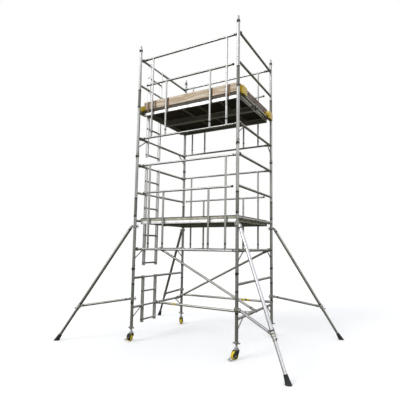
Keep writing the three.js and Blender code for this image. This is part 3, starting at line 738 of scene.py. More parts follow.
# ---------------------------------------------------------------- guardrail frames
def guardrail_frame(side, level, first_rung):
    name = f"guardrail_frame_{side}_{level}"
    y = GUARD_Y if side == "back" else -GUARD_Y
    low = rung_height(first_rung)
    middle, high = low + GUARD_HEIGHT - RUNG_PITCH, low + GUARD_HEIGHT
    tubes, castings, caps = Shell(), Shell(), Shell()
    inset_end = HALF_LENGTH - CLAW_R - 0.03
    for z in (low, high):
        pipe(tubes, (-inset_end, y, z), (inset_end, y, z), RAIL_R, RAIL_WALL, "rail")
        for end in (-1, 1):
            mouth = -140 if end < 0 else -40
            claw(castings, caps, (end * HALF_LENGTH, y, z), (0, y, z), RAIL_R, mouth)
    pipe(tubes, (-GUARD_MID_END, y, middle), (GUARD_MID_END, y, middle), RAIL_R, RAIL_WALL, "rail")
    for end in (-1, 1):
        plug = [(RAIL_R + 0.0014, 0), (RAIL_R + 0.0022, 0.4), (RAIL_R + 0.001, 0.75)]
        plug += [(0.011, 0.95), (0.004, 1)]
        x = end * (GUARD_MID_END - 0.012)
        solid_turned(caps, (x, y, middle), (x + end * 0.028, y, middle), plug, "black", 28)
    rails = {z: ((0, y, z), (1, 0, 0), RAIL_R) for z in (low, middle, high)}
    stacks = ((GUARD_OUTER, (low, middle, high)), (GUARD_INNER, (low, middle)))
    for reach, stops in stacks:
        for x in (-reach, reach):
            for z0, z1 in zip(stops, stops[1:]):
                strut(tubes, (x, y, z0), (x, y, z1), circle(RAIL_R, 32), "rail", (rails[z0], rails[z1]))
            ring_band(caps, (x, y, low + 0.09), (x, y, low + 0.115), RAIL_R, RAIL_R + 0.0008, "black", 28)
    tubes.piece(f"{name}_tubes", "tower", [name], "rail_aluminium")
    castings.piece(f"{name}_claws", "tower")
    caps.piece(f"{name}_plastics", "tower")


for side in ("front", "back"):
    guardrail_frame(side, "middle", 2)
    guardrail_frame(side, "top", 6)


# ---------------------------------------------------------------- braces
# Coloured bands: (share of the way from the left end, length, look).
BANDS = {
    "horizontal_brace_middle": ((0.18, 0.035, "band"), (0.21, 0.02, "band")),
    "horizontal_brace_back": ((0.715, 0.07, "band"), (0.752, 0.03, "black"), (0.768, 0.06, "band")),
}


def brace(name, left, right, held_by):
    tubes, castings, caps = Shell(), Shell(), Shell()
    ends = Vector((-HALF_LENGTH, *left)), Vector((HALF_LENGTH, *right))
    along = (ends[1] - ends[0]).normalized()
    on_leg = held_by == "leg"
    inset_end = CLAW_R + 0.03
    a, b = ends[0] + along * inset_end, ends[1] - along * inset_end
    pipe(tubes, a, b, BRACE_R, RAIL_WALL, "brace")
    slope = math.degrees(math.atan2(along.z, along.x))
    for point, other, side in ((ends[0], ends[1], -1), (ends[1], ends[0], 1)):
        mouth = (180 if side < 0 else 0) if on_leg else slope + (-140 if side < 0 else -40)
        claw(castings, caps, point, other, BRACE_R, mouth, LEG_R / RUNG_R if on_leg else 1.0, on_leg)
    for share, length, look in BANDS.get(name, ()):
        at = a.lerp(b, share)
        ring_band(caps, at, at + along * length, BRACE_R, BRACE_R + 0.0006, look, 28, 0.0002)
    tubes.piece(f"{name}_tube", "tower", [name], "rail_aluminium")
    castings.piece(f"{name}_claws", "tower")
    caps.piece(f"{name}_plastics", "tower")


for name, (left, right, held_by) in BRACES.items():
    brace(name, left, right, held_by)


# ---------------------------------------------------------------- platforms
def beam_outline():
    """Section of a side beam: (distance in from the deck's edge, height over the rung centres)."""
    top = DECK_TOP - PLY - GAP
    bottom = DECK_BOTTOM
    return [
        (0, bottom), (0.03, bottom), (0.03, bottom + 0.011), (0.027, bottom + 0.011), (0.027, bottom + 0.004),
        (0.004, bottom + 0.004), (0.004, top - 0.004), (0.022, top - 0.004), (0.022, top), (0, top),
        (0, 0.022), (0.0016, 0.019), (0, 0.016), (0, -0.008), (0.0016, -0.011), (0, -0.014),
    ]


def along_x(outline, x0, x1, chamfer=0.0005):
    """An outline in Y and Z made a solid from x0 to x1."""
    turn = Matrix(((0, 0, 1, 0), (1, 0, 0, 0), (0, 1, 0, 0), (0, 0, 0, 1)))
    points, faces = plate(outline, x0, x1, chamfer)
    return points @ np.array(turn)[:3, :3].T, faces


def platform(name, y_low, y_high, z, has_hatch):
    beams, board, hooks = Shell(), Shell(), Shell()
    section = np.array(beam_outline())
    ply_low = z + DECK_TOP - PLY
    for edge, inward in ((y_low, 1), (y_high, -1)):
        outline = np.column_stack([edge + inward * section[:, 0], z + section[:, 1]])
        outline = outline if inward > 0 else outline[::-1]
        # The side beams take the lightened aluminium: painted light.
        beams.add(along_x(outline, -DECK_END, DECK_END), "beam")
        # On the upper deck a dark strip lies over the beam's upper web under the board: the ply edge's brown
        # and painted shade. The lower deck's strip is pale.
        strip = sorted((edge - inward * 0.0012, edge + inward * 0.0006))
        low, high = (-DECK_END + 0.004, strip[0], z - 0.006), (DECK_END - 0.004, strip[1], ply_low)
        board.add(slab(low, high, 0.0003), "ply_brown_and_painted_shade" if z > 3 else "edge")
    for x in CROSS_BARS:
        channel(beams, x, y_low + 0.005, y_high - 0.005, z + 0.006, ply_low - GAP)
    for end in (-1, 1):
        x0, x1 = sorted((end * DECK_END, end * (DECK_END - 0.008)))
        end_bar = (x0, y_low + 0.004, z + DECK_BOTTOM + 0.008), (x1, y_high - 0.004, ply_low - GAP)
        beams.add(slab(*end_bar), "cross_bar_painted_light")
        x0, x1 = sorted((end * DECK_END, end * (DECK_END + 0.0025)))
        for height in (-0.03, 0.012):
            bead = (x0, y_low + 0.03, z + height - 0.004), (x1, y_high - 0.03, z + height + 0.004)
            beams.add(slab(*bead, 0.001), "cross_bar_painted_light")
    middle = (y_low + y_high) / 2
    for end in (-1, 1):
        for offset in (-HOOK_Y, HOOK_Y):
            deck_hook(hooks, end, middle + offset, z)
    deck_board(board, y_low, y_high, ply_low, has_hatch)
    if has_hatch:
        hatch_trimmers(beams, z, ply_low - GAP)
    for x in np.linspace(-DECK_END + 0.06, DECK_END - 0.06, 12):
        for y in (y_low + 0.012, y_high - 0.012):
            dome(beams, (float(x), y, z + DECK_TOP), UP, 0.0055, 0.0022, "rung", 12)
    beams.piece(f"{name}_beams", "tower", [name], "rail_aluminium")
    board.piece(f"{name}_board", "tower", slot="plywood")
    hooks.piece(f"{name}_hooks", "tower")


def channel(shell, x, y0, y1, z0, z1):
    """A cross member of U section, open downwards."""
    half, wall = 0.014, 0.003
    inner = half - wall
    outline = [(-half, z0), (-inner, z0), (-inner, z1 - wall), (inner, z1 - wall), (inner, z0)]
    outline += [(half, z0), (half, z1), (-half, z1)]
    place = Matrix(((1, 0, 0, x), (0, 0, -1, 0), (0, 1, 0, 0), (0, 0, 0, 1)))
    shell.add(plate(outline, -y1, -y0, 0.0004), "cross_bar_painted_light", place)


def hatch_outline(grow, radius):
    """The trapdoor's opening, grown or shrunk all round."""
    low = HATCH_X[0] - grow, HATCH_Y[0] - grow
    return np.array(rounded(low, (HATCH_X[1] + grow, HATCH_Y[1] + grow), radius))


def deck_board(shell, y_low, y_high, low, has_hatch):
    """The walking board: a patterned layer over smooth plies, with the trapdoor's opening left out."""
    outer = np.array(rounded((-DECK_END, y_low), (DECK_END, y_high), 0.003))
    film = low + PLY - 0.0016
    if not has_hatch:
        shell.add(plate(outer, low, film, 0.0006), "ply_under")
        shell.add(plate(outer, film, low + PLY, 0.0012), "ply_top")
        return
    hole = hatch_outline(0, 0.003)
    for z0, z1, look in ((low, film, "ply_under"), (film, low + PLY, "ply_top")):
        loops = [flat(hole, z0), flat(outer, z0), flat(outer, z1 - 0.0008), flat(inset(outer, 0.0008), z1),
                 flat(inset(hole, -0.0008), z1), flat(hole, z1 - 0.0008)]
        shell.add(loft(loops, ring=True), look)


def hatch_trimmers(shell, z, high):
    low = z + 0.0005
    outer, inner = hatch_outline(TRIMMER, 0.002), hatch_outline(0, 0.002)
    loops = [flat(inner, low), flat(outer, low), flat(outer, high), flat(inner, high)]
    shell.add(loft(loops, ring=True), "cross_bar_painted_light")


def deck_hook(shell, end, y, z):
    """A cast hook over the rung, its neck bolted to the end beam, and a wind lock under the rung."""
    place = Matrix.Translation((end * HALF_LENGTH, y, z)) @ UPRIGHT
    shell.add(plate(strip(CLAW_R, CLAW_BORE, -12, 192, 24), -0.015, 0.015, 0.0018), "claw", place)
    rib = strip(CLAW_R + 0.003, CLAW_R - 0.004, 15, 165, 18)
    shell.add(plate(rib, -0.003, 0.003, 0.0008), "claw", place)
    x0, x1 = sorted((end * (DECK_END - 0.004), end * (HALF_LENGTH - CLAW_R + 0.006)))
    shell.add(slab((x0, y - 0.015, z - 0.012), (x1, y + 0.015, z + 0.022), 0.002), "claw")
    foot = sorted((end * (DECK_END + 0.0005), end * (DECK_END + 0.006)))
    shell.add(slab((foot[0], y - 0.032, z - 0.02), (foot[1], y + 0.032, z + 0.028), 0.0015), "claw")
    for side in (-1, 1):
        hex_head(shell, (end * (DECK_END + 0.006), y + side * 0.024, z + 0.004), (end, 0, 0), 0.0048, 0.0045)
    sweep_from, sweep_to = (-150, -35) if end > 0 else (-30, -145)
    lock = strip(CLAW_BORE + 0.0065, CLAW_BORE, sweep_from, sweep_to, 12)
    lock = lock if end > 0 else lock[::-1]
    shell.add(plate(lock, -0.0215, -0.0175, 0.0006), "zinc", place)


def trapdoor(level, z):
    name = f"trapdoor_{level}"
    body = f"hatch_{level}"
    lid, hinges, fixed = Shell(), Shell(), Shell()
    top = z + DECK_TOP
    low = top - PLY + 0.001
    hinge_z = top + HINGE_LIFT
    outline = hatch_outline(-HATCH_GAP, 0.004)
    lid.add(plate(outline, low, top - 0.0016, 0.0006), "ply_under")
    lid.add(plate(outline, top - 0.0016, top, 0.001), "ply_top")
    for x in (HATCH_X[0] + 0.09, HATCH_X[1] - 0.13):
        batten = (x, HATCH_Y[0] + 0.03, low - 0.012), (x + 0.04, HATCH_Y[1] - 0.03, low - 0.0002)
        lid.add(slab(*batten, 0.0015), "ply_under")
    for x in (HATCH_X[0] + 0.08, sum(HATCH_X) / 2, HATCH_X[1] - 0.08):
        for shell, offsets, y0, y1 in (
            (hinges, (0.0,), HINGE_Y + 0.0035, HINGE_Y + 0.04),
            (fixed, (-0.022, 0.022), HINGE_Y - 0.036, HINGE_Y - 0.0035),
        ):
            shell.add(slab((x - 0.032, y0, top + 0.0004), (x + 0.032, y1, top + 0.0022), 0.0005), "zinc")
            for offset in offsets:
                knuckle = [(x + offset + side * 0.0105, HINGE_Y, hinge_z) for side in (-1, 1)]
                ring_band(shell, *knuckle, 0.002, KNUCKLE_R, "zinc", 16, 0.0004)
            for side in (-0.02, 0.02):
                dome(shell, (x + side, (y0 + y1) / 2, top + 0.0022), UP, 0.004, 0.0016, "bolt", 12)
        rod(fixed, (x - 0.034, HINGE_Y, hinge_z), (x + 0.034, HINGE_Y, hinge_z), 0.0019, "bolt", 10)
    pull(hinges, (HATCH_X[1] - 0.2, HATCH_Y[1] - 0.05, top))
    lid.piece(f"{name}_board", body, [name], "plywood")
    hinges.piece(f"{name}_hinge_leaves", body, slot="zinc_steel")
    fixed.piece(f"{name}_hinge_pins", "tower", slot="zinc_steel")


def pull(shell, at):
    """A drop ring in its plate, which lifts the trapdoor."""
    x, y, z = at
    backing = rounded((x - 0.035, y - 0.02), (x + 0.035, y + 0.02), 0.006)
    shell.add(plate(backing, z + 0.0002, z + 0.0024, 0.0006), "zinc")
    bow = [(x + 0.024 * math.cos(t), y - 0.006 + 0.018 * math.sin(t), z + 0.0052)
           for t in np.arange(24) * math.pi / 12]
    shell.add(sweep(bow, 0.0026, 8, closed=True), "bolt")
    for side in (-1, 1):
        middle = x + side * 0.024
        eye = (middle - 0.005, y - 0.012, z + 0.0018), (middle + 0.005, y, z + 0.0095)
        shell.add(slab(*eye, 0.001), "zinc")


for level, rung in (("lower", 3), ("upper", 7)):
    z = rung_height(rung)
    platform(f"trapdoor_platform_{level}", -DECK_EDGE, -DECK_GAP, z, True)
    platform(f"plain_platform_{level}", DECK_GAP, DECK_EDGE, z, False)
    trapdoor(level, z)


# ---------------------------------------------------------------- toeboards and corner clips
def toeboards():
    low = rung_height(7) + DECK_TOP + 0.0005
    high = low + BOARD_HEIGHT
    # Dark brown strips down the boards' outer face, reaching below the board, each with two nail heads.
    dark_strips = (-0.86, 0.034), (-0.7, 0.026), (-0.42, 0.026), (0.47, 0.026), (0.8, 0.026)
    for side, sign in (("front", -1), ("back", 1)):
        board, strip_shell = Shell(), Shell()
        y0, y1 = sorted((sign * BOARD_Y, sign * (BOARD_Y - BOARD_THICK)))
        board.add(slab((-BOARD_X, y0, low), (BOARD_X, y1, high), 0.002), "pine")
        for x, width in dark_strips:
            face = sorted((sign * (BOARD_Y + 0.0003), sign * (BOARD_Y + 0.009)))
            across = Matrix.Translation((sign * -x, 0, 0)) @ Matrix.Rotation(math.pi / 2, 4, "Y")
            strip = slab((-high + 0.004, face[0], -width / 2), (-low + 0.058, face[1], width / 2), 0.001)
            strip_shell.add(strip, "dark_strip", across)
            for z in (low + 0.03, high - 0.03):
                nail = (sign * -x, sign * (BOARD_Y + 0.009), z)
                dome(strip_shell, nail, (0, sign, 0), 0.0035, 0.0014, "bolt", 10)
        board.piece(f"toeboard_{side}_board", "tower", [f"toeboard_{side}"], "pine_board")
        strip_shell.piece(f"toeboard_{side}_cleats", "tower", slot="pine_board")
    half = BOARD_Y - BOARD_THICK - 0.0005
    for side, sign in (("left", -1), ("right", 1)):
        board = Shell()
        x0, x1 = sorted((sign * BOARD_X, sign * (BOARD_X - BOARD_THICK)))
        turn = Matrix.Rotation(math.pi / 2, 4, "Z")
        # The end board takes the darker copy of the pine: painted shade.
        board.add(slab((-half, -x1, low), (half, -x0, high), 0.002), "pine_painted_shade", turn)
        board.piece(f"toeboard_{side}_board", "tower", [f"toeboard_{side}"], "pine_board")


def corner_clip(corner):
    """A moulded corner saddled over the rung: an arm along each board, an outer lip, ribs and two bolts."""
    place = Matrix.Translation((0, 0, rung_height(7)))
    place @= Matrix.Diagonal((*(math.copysign(1, value) for value in STATION[corner][:2]), 1, 1))
    shell = Shell(place)
    y0, x0 = BOARD_Y + 0.0005, BOARD_X + 0.0005
    (rung_x, rung_z), (hook_x, hook_z) = CHANNEL_RUNG, CHANNEL_HOOK
    tip = arc((CLIP_X - 0.012, CLIP_ARM_Y + 0.012), 0.012, -90, 0, 4)
    corner_round = arc((CLIP_X - 0.014, CLIP_Y - 0.014), 0.014, 0, 90, 5)
    outline = [(x0, CLIP_ARM_Y), *tip, *corner_round, (CLIP_ARM_X + 0.004, CLIP_Y)]
    outline += [(CLIP_ARM_X, CLIP_Y - 0.004), (CLIP_ARM_X, y0), (x0, y0)]
    steps = ((0.001, hook_z), (0, hook_z + 0.001), (0, CLIP_HIGH - 0.012), (0.0035, CLIP_HIGH - 0.0035))
    steps += ((0.012, CLIP_HIGH),)
    shell.add(loft([flat(inset(outline, c), z) for c, z in steps]), "yellow")
    lip = [(hook_x, CLIP_ARM_Y), *tip, *corner_round, (rung_x, CLIP_Y)]
    lip += [(rung_x, CHANNEL_Y), (hook_x, CHANNEL_Y)]
    shell.add(plate(lip, CLIP_LOW, hook_z + 0.002, 0.002), "yellow")
    roof = (x0 + 0.001, CHANNEL_Y, rung_z), (hook_x, CLIP_Y - 0.001, hook_z + 0.002)
    shell.add(slab(*roof, 0.001), "yellow")
    rib_y0, rib_y1 = CLIP_ARM_Y + 0.016, CLIP_Y - 0.018
    for z in (0.0, 0.03, 0.06, 0.09):
        rib = (CLIP_X - 0.001, rib_y0, z - 0.003), (CLIP_X + 0.0026, rib_y1, z + 0.003)
        shell.add(slab(*rib, 0.001), "yellow")
    for x in (0.972, 1.012):
        rib = (x - 0.003, CLIP_Y - 0.001, 0.036), (x + 0.003, CLIP_Y + 0.0026, 0.102)
        shell.add(slab(*rib, 0.001), "yellow")
    for z in (0.05, 0.088):
        hex_head(shell, (0.992, CLIP_Y, z), (0, 1, 0), 0.005, 0.004)
    shell.piece(f"toeboard_clip_{corner}_moulding", "tower", [f"toeboard_clip_{corner}"], "yellow_plastic")


toeboards()
for corner in CORNERS:
    corner_clip(corner)


# ---------------------------------------------------------------- castors and adjustable legs
def thread(low, high, root, crest, pitch, sides=24, per_turn=6):
    """A right-hand screw thread of trapezoid form."""
    rows = np.arange(low, high + 1e-9, pitch / per_turn)
    turn = np.arange(sides) * 2 * math.pi / sides
    loops = []
    for z in rows:
        phase = np.mod((z - low) / pitch - turn / (2 * math.pi), 1.0)
        rise = np.clip(1.6 - np.abs(phase - 0.5) * 6.4, 0, 1)
        reach = root + (crest - root) * rise
        loops.append(np.column_stack([reach * np.cos(turn), reach * np.sin(turn), np.full(sides, z)]))
    return loft(loops)


def adjustable_leg(corner):
    shell = Shell(Matrix.Translation(STATION[corner]))
    rim = FLANGE_R - 0.002
    flange = [(0.012, 0), (rim, 0), (FLANGE_R, 0.002), (FLANGE_R, 0.006), (rim, 0.008)]
    flange += [(0.022, 0.0095), (0.0185, 0.016), (0.012, 0.02)]
    shell.add(turned([(r, STEM_LOW + z) for r, z in flange], 40), "zinc")
    thread_top = STEM_LOW + 0.4
    shell.add(thread(STEM_LOW + 0.012, thread_top, STEM_R - 0.0026, STEM_R, THREAD_PITCH), "zinc")
    pipe(shell, (0, 0, thread_top - 0.004), (0, 0, STEM_TOP), STEM_R - 0.0008, 0.003, "zinc", 28)
    shell.piece(f"adjustable_leg_{corner}_screw", f"leg_{corner}", [f"adjustable_leg_{corner}"], "zinc_steel")


def adjuster_nut(corner):
    shell = Shell(Matrix.Translation(STATION[corner]))
    bore = STEM_R + 0.0012
    low, top = NUT_LOW, NUT_TOP
    waist, rim = NUT_R - 0.004, NUT_R - 0.001
    profile = [(bore, low), (NUT_R - 0.007, low), (waist, low + 0.003), (waist, low + 0.015)]
    profile += [(rim, low + 0.021), (NUT_R, low + 0.025), (NUT_R, top - 0.001), (rim, top), (bore, top)]
    shell.add(turned(profile, 40, ring=True), "zinc")
    wing = [(0.026, -0.0048), (0.05, -0.0044)] + arc((NUT_WING - 0.0062, 0), 0.006, -80, 80, 8)
    wing += [(0.05, 0.0044), (0.026, 0.0048)]
    for turn in (0, math.pi):
        place = Matrix.Rotation(turn, 4, "Z")
        shell.add(plate(wing, low + 0.004, low + 0.026, 0.0018), "zinc", place)
        for side in (-1, 1):
            gusset = [(0.024, side * 0.0045), (0.024, side * 0.014), (0.038, side * 0.0045)]
            shell.add(plate(gusset[:: side], low + 0.011, low + 0.019, 0.0008), "zinc", place)
    for turn in (math.pi / 2, -math.pi / 2):
        lug = rounded((NUT_R - 0.006, -0.008), (NUT_R + 0.012, 0.008), 0.004)
        shell.add(plate(lug, low + 0.004, low + 0.024, 0.0016), "zinc", Matrix.Rotation(turn, 4, "Z"))
    shell.piece(f"adjuster_nut_{corner}_casting", f"nut_{corner}", [f"adjuster_nut_{corner}"], "zinc_steel")


def castor(corner):
    roll = JOINTS[f"castor_{corner}_roll"]["axis"]
    place = Matrix.Translation(STATION[corner]) @ Matrix.Rotation(math.atan2(-roll[0], roll[1]), 4, "Z")
    fork(corner, place)
    wheel(corner, place)
    brake(corner, place)


def fork(corner, place):
    shell = Shell(place)
    race = [(0.012, -0.0235), (0.034, -0.0235), (0.0358, -0.0215), (0.036, -0.015), (0.0335, -0.0135),
            (0.0335, -0.0118), (0.036, -0.01), (0.0358, -0.004), (0.033, -0.001), (0.026, 0), (0.012, 0)]
    shell.add(turned([(r, FORK_TOP + z) for r, z in race], 40), "zinc")
    for turn in np.arange(8) * math.pi / 4:
        ball = (0.0335 * math.cos(turn), 0.0335 * math.sin(turn), FORK_TOP - 0.0126)
        dome(shell, ball, (math.cos(turn), math.sin(turn), 0), 0.0016, 0.0022, "bolt", 8)
    bridge = rounded((-0.034, -PLATE_Y - PLATE_T), (0.04, PLATE_Y + PLATE_T), 0.004)
    shell.add(plate(bridge, FORK_TOP - 0.0255, FORK_TOP - 0.019, 0.0012), "fork")
    cheek = [(-0.032, FORK_TOP - 0.018), (-0.0335, 0.128), (-0.0275, 0.098), (-0.012, 0.075), (0.004, 0.054)]
    cheek += arc((TRAIL, WHEEL_R), 0.0262, 205, 295, 7)
    cheek += [(0.0605, 0.0435), (0.0765, 0.067), (0.0745, 0.097), (0.058, 0.119), (0.041, FORK_TOP - 0.018)]
    for side in (-1, 1):
        y = side * (PLATE_Y + PLATE_T / 2)
        low, high = -y - PLATE_T / 2, -y + PLATE_T / 2
        shell.add(plate(cheek, low, high, 0.0008), "fork", UPRIGHT)
        rim = sweep([(px, y + side * 0.0012, pz) for px, pz in inset(cheek, 0.0025)], 0.0016, 6, closed=True)
        shell.add(rim, "fork")
        centre = Vector((TRAIL, y + side * PLATE_T / 2, WHEEL_R))
        hex_head(shell, (TRAIL, side * 0.0386, WHEEL_R), (0, side, 0), 0.0058, 0.0046)
        rod(shell, centre, centre + Vector((0, side * 0.009, 0)), 0.0058, "bolt", 16)
    rod(shell, (TRAIL, -PLATE_Y, WHEEL_R), (TRAIL, PLATE_Y, WHEEL_R), 0.006, "bolt", 20)
    shell.piece(f"castor_fork_{corner}_pressing", f"fork_{corner}", [f"castor_fork_{corner}"], "fork_steel")


def wheel(corner, place):
    hub_turn = Matrix.Translation((TRAIL, 0, WHEEL_R)) @ Matrix.Rotation(-math.pi / 2, 4, "X")
    tyre, core = Shell(place @ hub_turn), Shell(place @ hub_turn)
    half, r = WHEEL_W / 2, WHEEL_R
    shoulder = ((0.014, 0.003), (0.01, 0.0005), (0.006, 0.0012), (0.0026, 0.005))
    groove = ((0.0006, 0.012), (0.0022, 0.0108), (0.0022, 0.0092), (0.0002, 0.008), (0, 0.004))
    tread = [(r - depth, half - across) for depth, across in shoulder]
    tread += [(r - depth, height) for depth, height in groove]
    mirrored = [(radius, -height) for radius, height in reversed(tread)]
    tyre.add(turned(tread + mirrored, 72, ring=True), "tyre")
    inner, seat = r - 0.022, r - 0.0138
    rim = [(inner, half - 0.0055), (inner + 0.0015, half - 0.0035), (seat, half - 0.0025)]
    rim += [(radius, -height) for radius, height in reversed(rim)]
    rim += [(inner, -0.004), (inner, 0.004)]
    core.add(turned(rim, 56, ring=True), "hub")
    web = [(0.018, -0.004), (inner + 0.0005, -0.004), (inner + 0.0005, 0.004), (0.018, 0.004)]
    core.add(turned(web, 48, ring=True), "hub")
    hub = [(0.0085, -0.0235), (0.0165, -0.0235), (0.0185, -0.0215), (0.02, -0.004)]
    hub += [(radius, -height) for radius, height in reversed(hub)]
    core.add(turned(hub, 40, ring=True), "hub")
    for side in (-1, 1):
        for number in range(10):
            rib = slab((0.0175, -0.0016, 0.0035), (inner + 0.0008, 0.0016, half - 0.006), 0.0006)
            turn = Matrix.Rotation(number * math.pi / 5, 4, "Z") @ Matrix.Diagonal((1, 1, side, 1))
            core.add(rib, "hub", turn)
        bearing = [(0.0085, 0.0236), (0.0135, 0.0236), (0.0135, 0.0248), (0.0085, 0.0248)]
        core.add(turned([(radius, side * z) for radius, z in bearing], 28, ring=True), "bolt")
    tyre.piece(f"castor_wheel_{corner}_tread", f"wheel_{corner}", [f"castor_wheel_{corner}"], "yellow_wheel")
    core.piece(f"castor_wheel_{corner}_core", f"wheel_{corner}", slot="yellow_wheel")


def brake(corner, place):
    shell = Shell(place @ Matrix.Translation((TRAIL, 0, WHEEL_R)))
    y = PLATE_Y + PLATE_T + 0.0025
    arm = arc((0, 0), 0.013, 80, 235, 10) + [(0.008, -0.0135), (0.036, -0.0285), (0.076, -0.0455)]
    arm += [(0.0805, -0.041), (0.079, -0.0345), (0.041, -0.014)]
    for side in (-1, 1):
        shell.add(plate(arm, side * y - 0.0015, side * y + 0.0015, 0.0005), "zinc", UPRIGHT)
        eye = toward((0, side * (y + 0.0014), 0), (0, side * (y + 0.0026), 0))
        washer = [(0.0078, 0), (0.0108, 0), (0.0108, 0.0012), (0.0078, 0.0012)]
        shell.add(turned(washer, 24, ring=True), "zinc", eye[0])
    pedal = plate(rounded((0.071, -y - 0.003), (0.1075, y + 0.003), 0.006), -0.0458, -0.0412, 0.0012)
    shell.add(pedal, "zinc")
    for x in np.arange(0.078, 0.104, 0.0065):
        shell.add(slab((x - 0.0012, -y + 0.004, -0.0414), (x + 0.0012, y - 0.004, -0.0392), 0.0006), "zinc")
    lip = sweep([(0.1068, py, -0.0435) for py in (-y + 0.002, -y / 2, 0, y / 2, y - 0.002)], 0.0026, 8)
    shell.add(lip, "zinc")
    shell.piece(f"brake_lever_{corner}_pressing", f"brake_{corner}", [f"brake_lever_{corner}"], "zinc_steel")


for corner in CORNERS:
    adjustable_leg(corner)
    adjuster_nut(corner)
    castor(corner)


# ---------------------------------------------------------------- stabilisers
def stay_clamp(shell, z, handle_side, pivot):
    """A hinged half coupler round the leg with its eye bolt and T handle, and the lug that holds the stay."""
    bore = LEG_R + 0.0014
    for start, end in ((-78, 78), (102, 258)):
        jaw = strip(CLAMP_R - 0.001, bore, start, end, 18)
        shell.add(plate(jaw, z - 0.021, z + 0.021, 0.002), "coupler")
        rib = strip(CLAMP_R + 0.0022, CLAMP_R - 0.003, start + 14, end - 14, 16)
        for offset in (-0.014, 0.014):
            shell.add(plate(rib, z + offset - 0.003, z + offset + 0.003, 0.0008), "coupler")
    knuckle = Vector((0, -handle_side * (CLAMP_R + 0.002), 0))
    ring_band(shell, knuckle + UP * (z - 0.022), knuckle + UP * (z + 0.022), 0.003, 0.0078, "coupler", 18)
    dome(shell, knuckle + UP * (z + 0.022), UP, 0.0056, 0.004, "bolt")
    dome(shell, knuckle + UP * (z - 0.022), -UP, 0.0056, 0.004, "bolt")
    ear_y = handle_side * 0.047
    for x in (-0.0105, 0.0105):
        ear = rounded((x - 0.005, ear_y - 0.014), (x + 0.005, ear_y + 0.014), 0.003)
        shell.add(plate(ear, z - 0.014, z + 0.014, 0.0014), "coupler")
    bolt_y = handle_side * 0.049
    shaft = toward((0.022, bolt_y, z), (-0.06, bolt_y, z))
    shell.add(thread(0, shaft[1], 0.0046, 0.0056, 0.0028, 14, 4), "zinc", shaft[0])
    hex_head(shell, (0.0155, bolt_y, z), (1, 0, 0), 0.0082, 0.007)
    nut = [(0.012, 0), (0.012, 0.2), (0.009, 0.35), (0.009, 1)]
    solid_turned(shell, (-0.0155, bolt_y, z), (-0.046, bolt_y, z), nut, "zinc", 20)
    grip = [(-0.04, bolt_y, z + offset) for offset in np.linspace(-0.036, 0.036, 9)]
    shell.add(sweep(grip, 0.0042, 10), "zinc")
    for tip in (grip[0], grip[-1]):
        dome(shell, tip, (0, 0, math.copysign(1, tip[2] - z)), 0.0058, 0.004, "zinc")
    lug = rounded((CLAMP_R - 0.008, -0.0155), (pivot, 0.0155), 0.004)
    shell.add(plate(lug, z - 0.0215, z + 0.0215, 0.0025), "coupler")


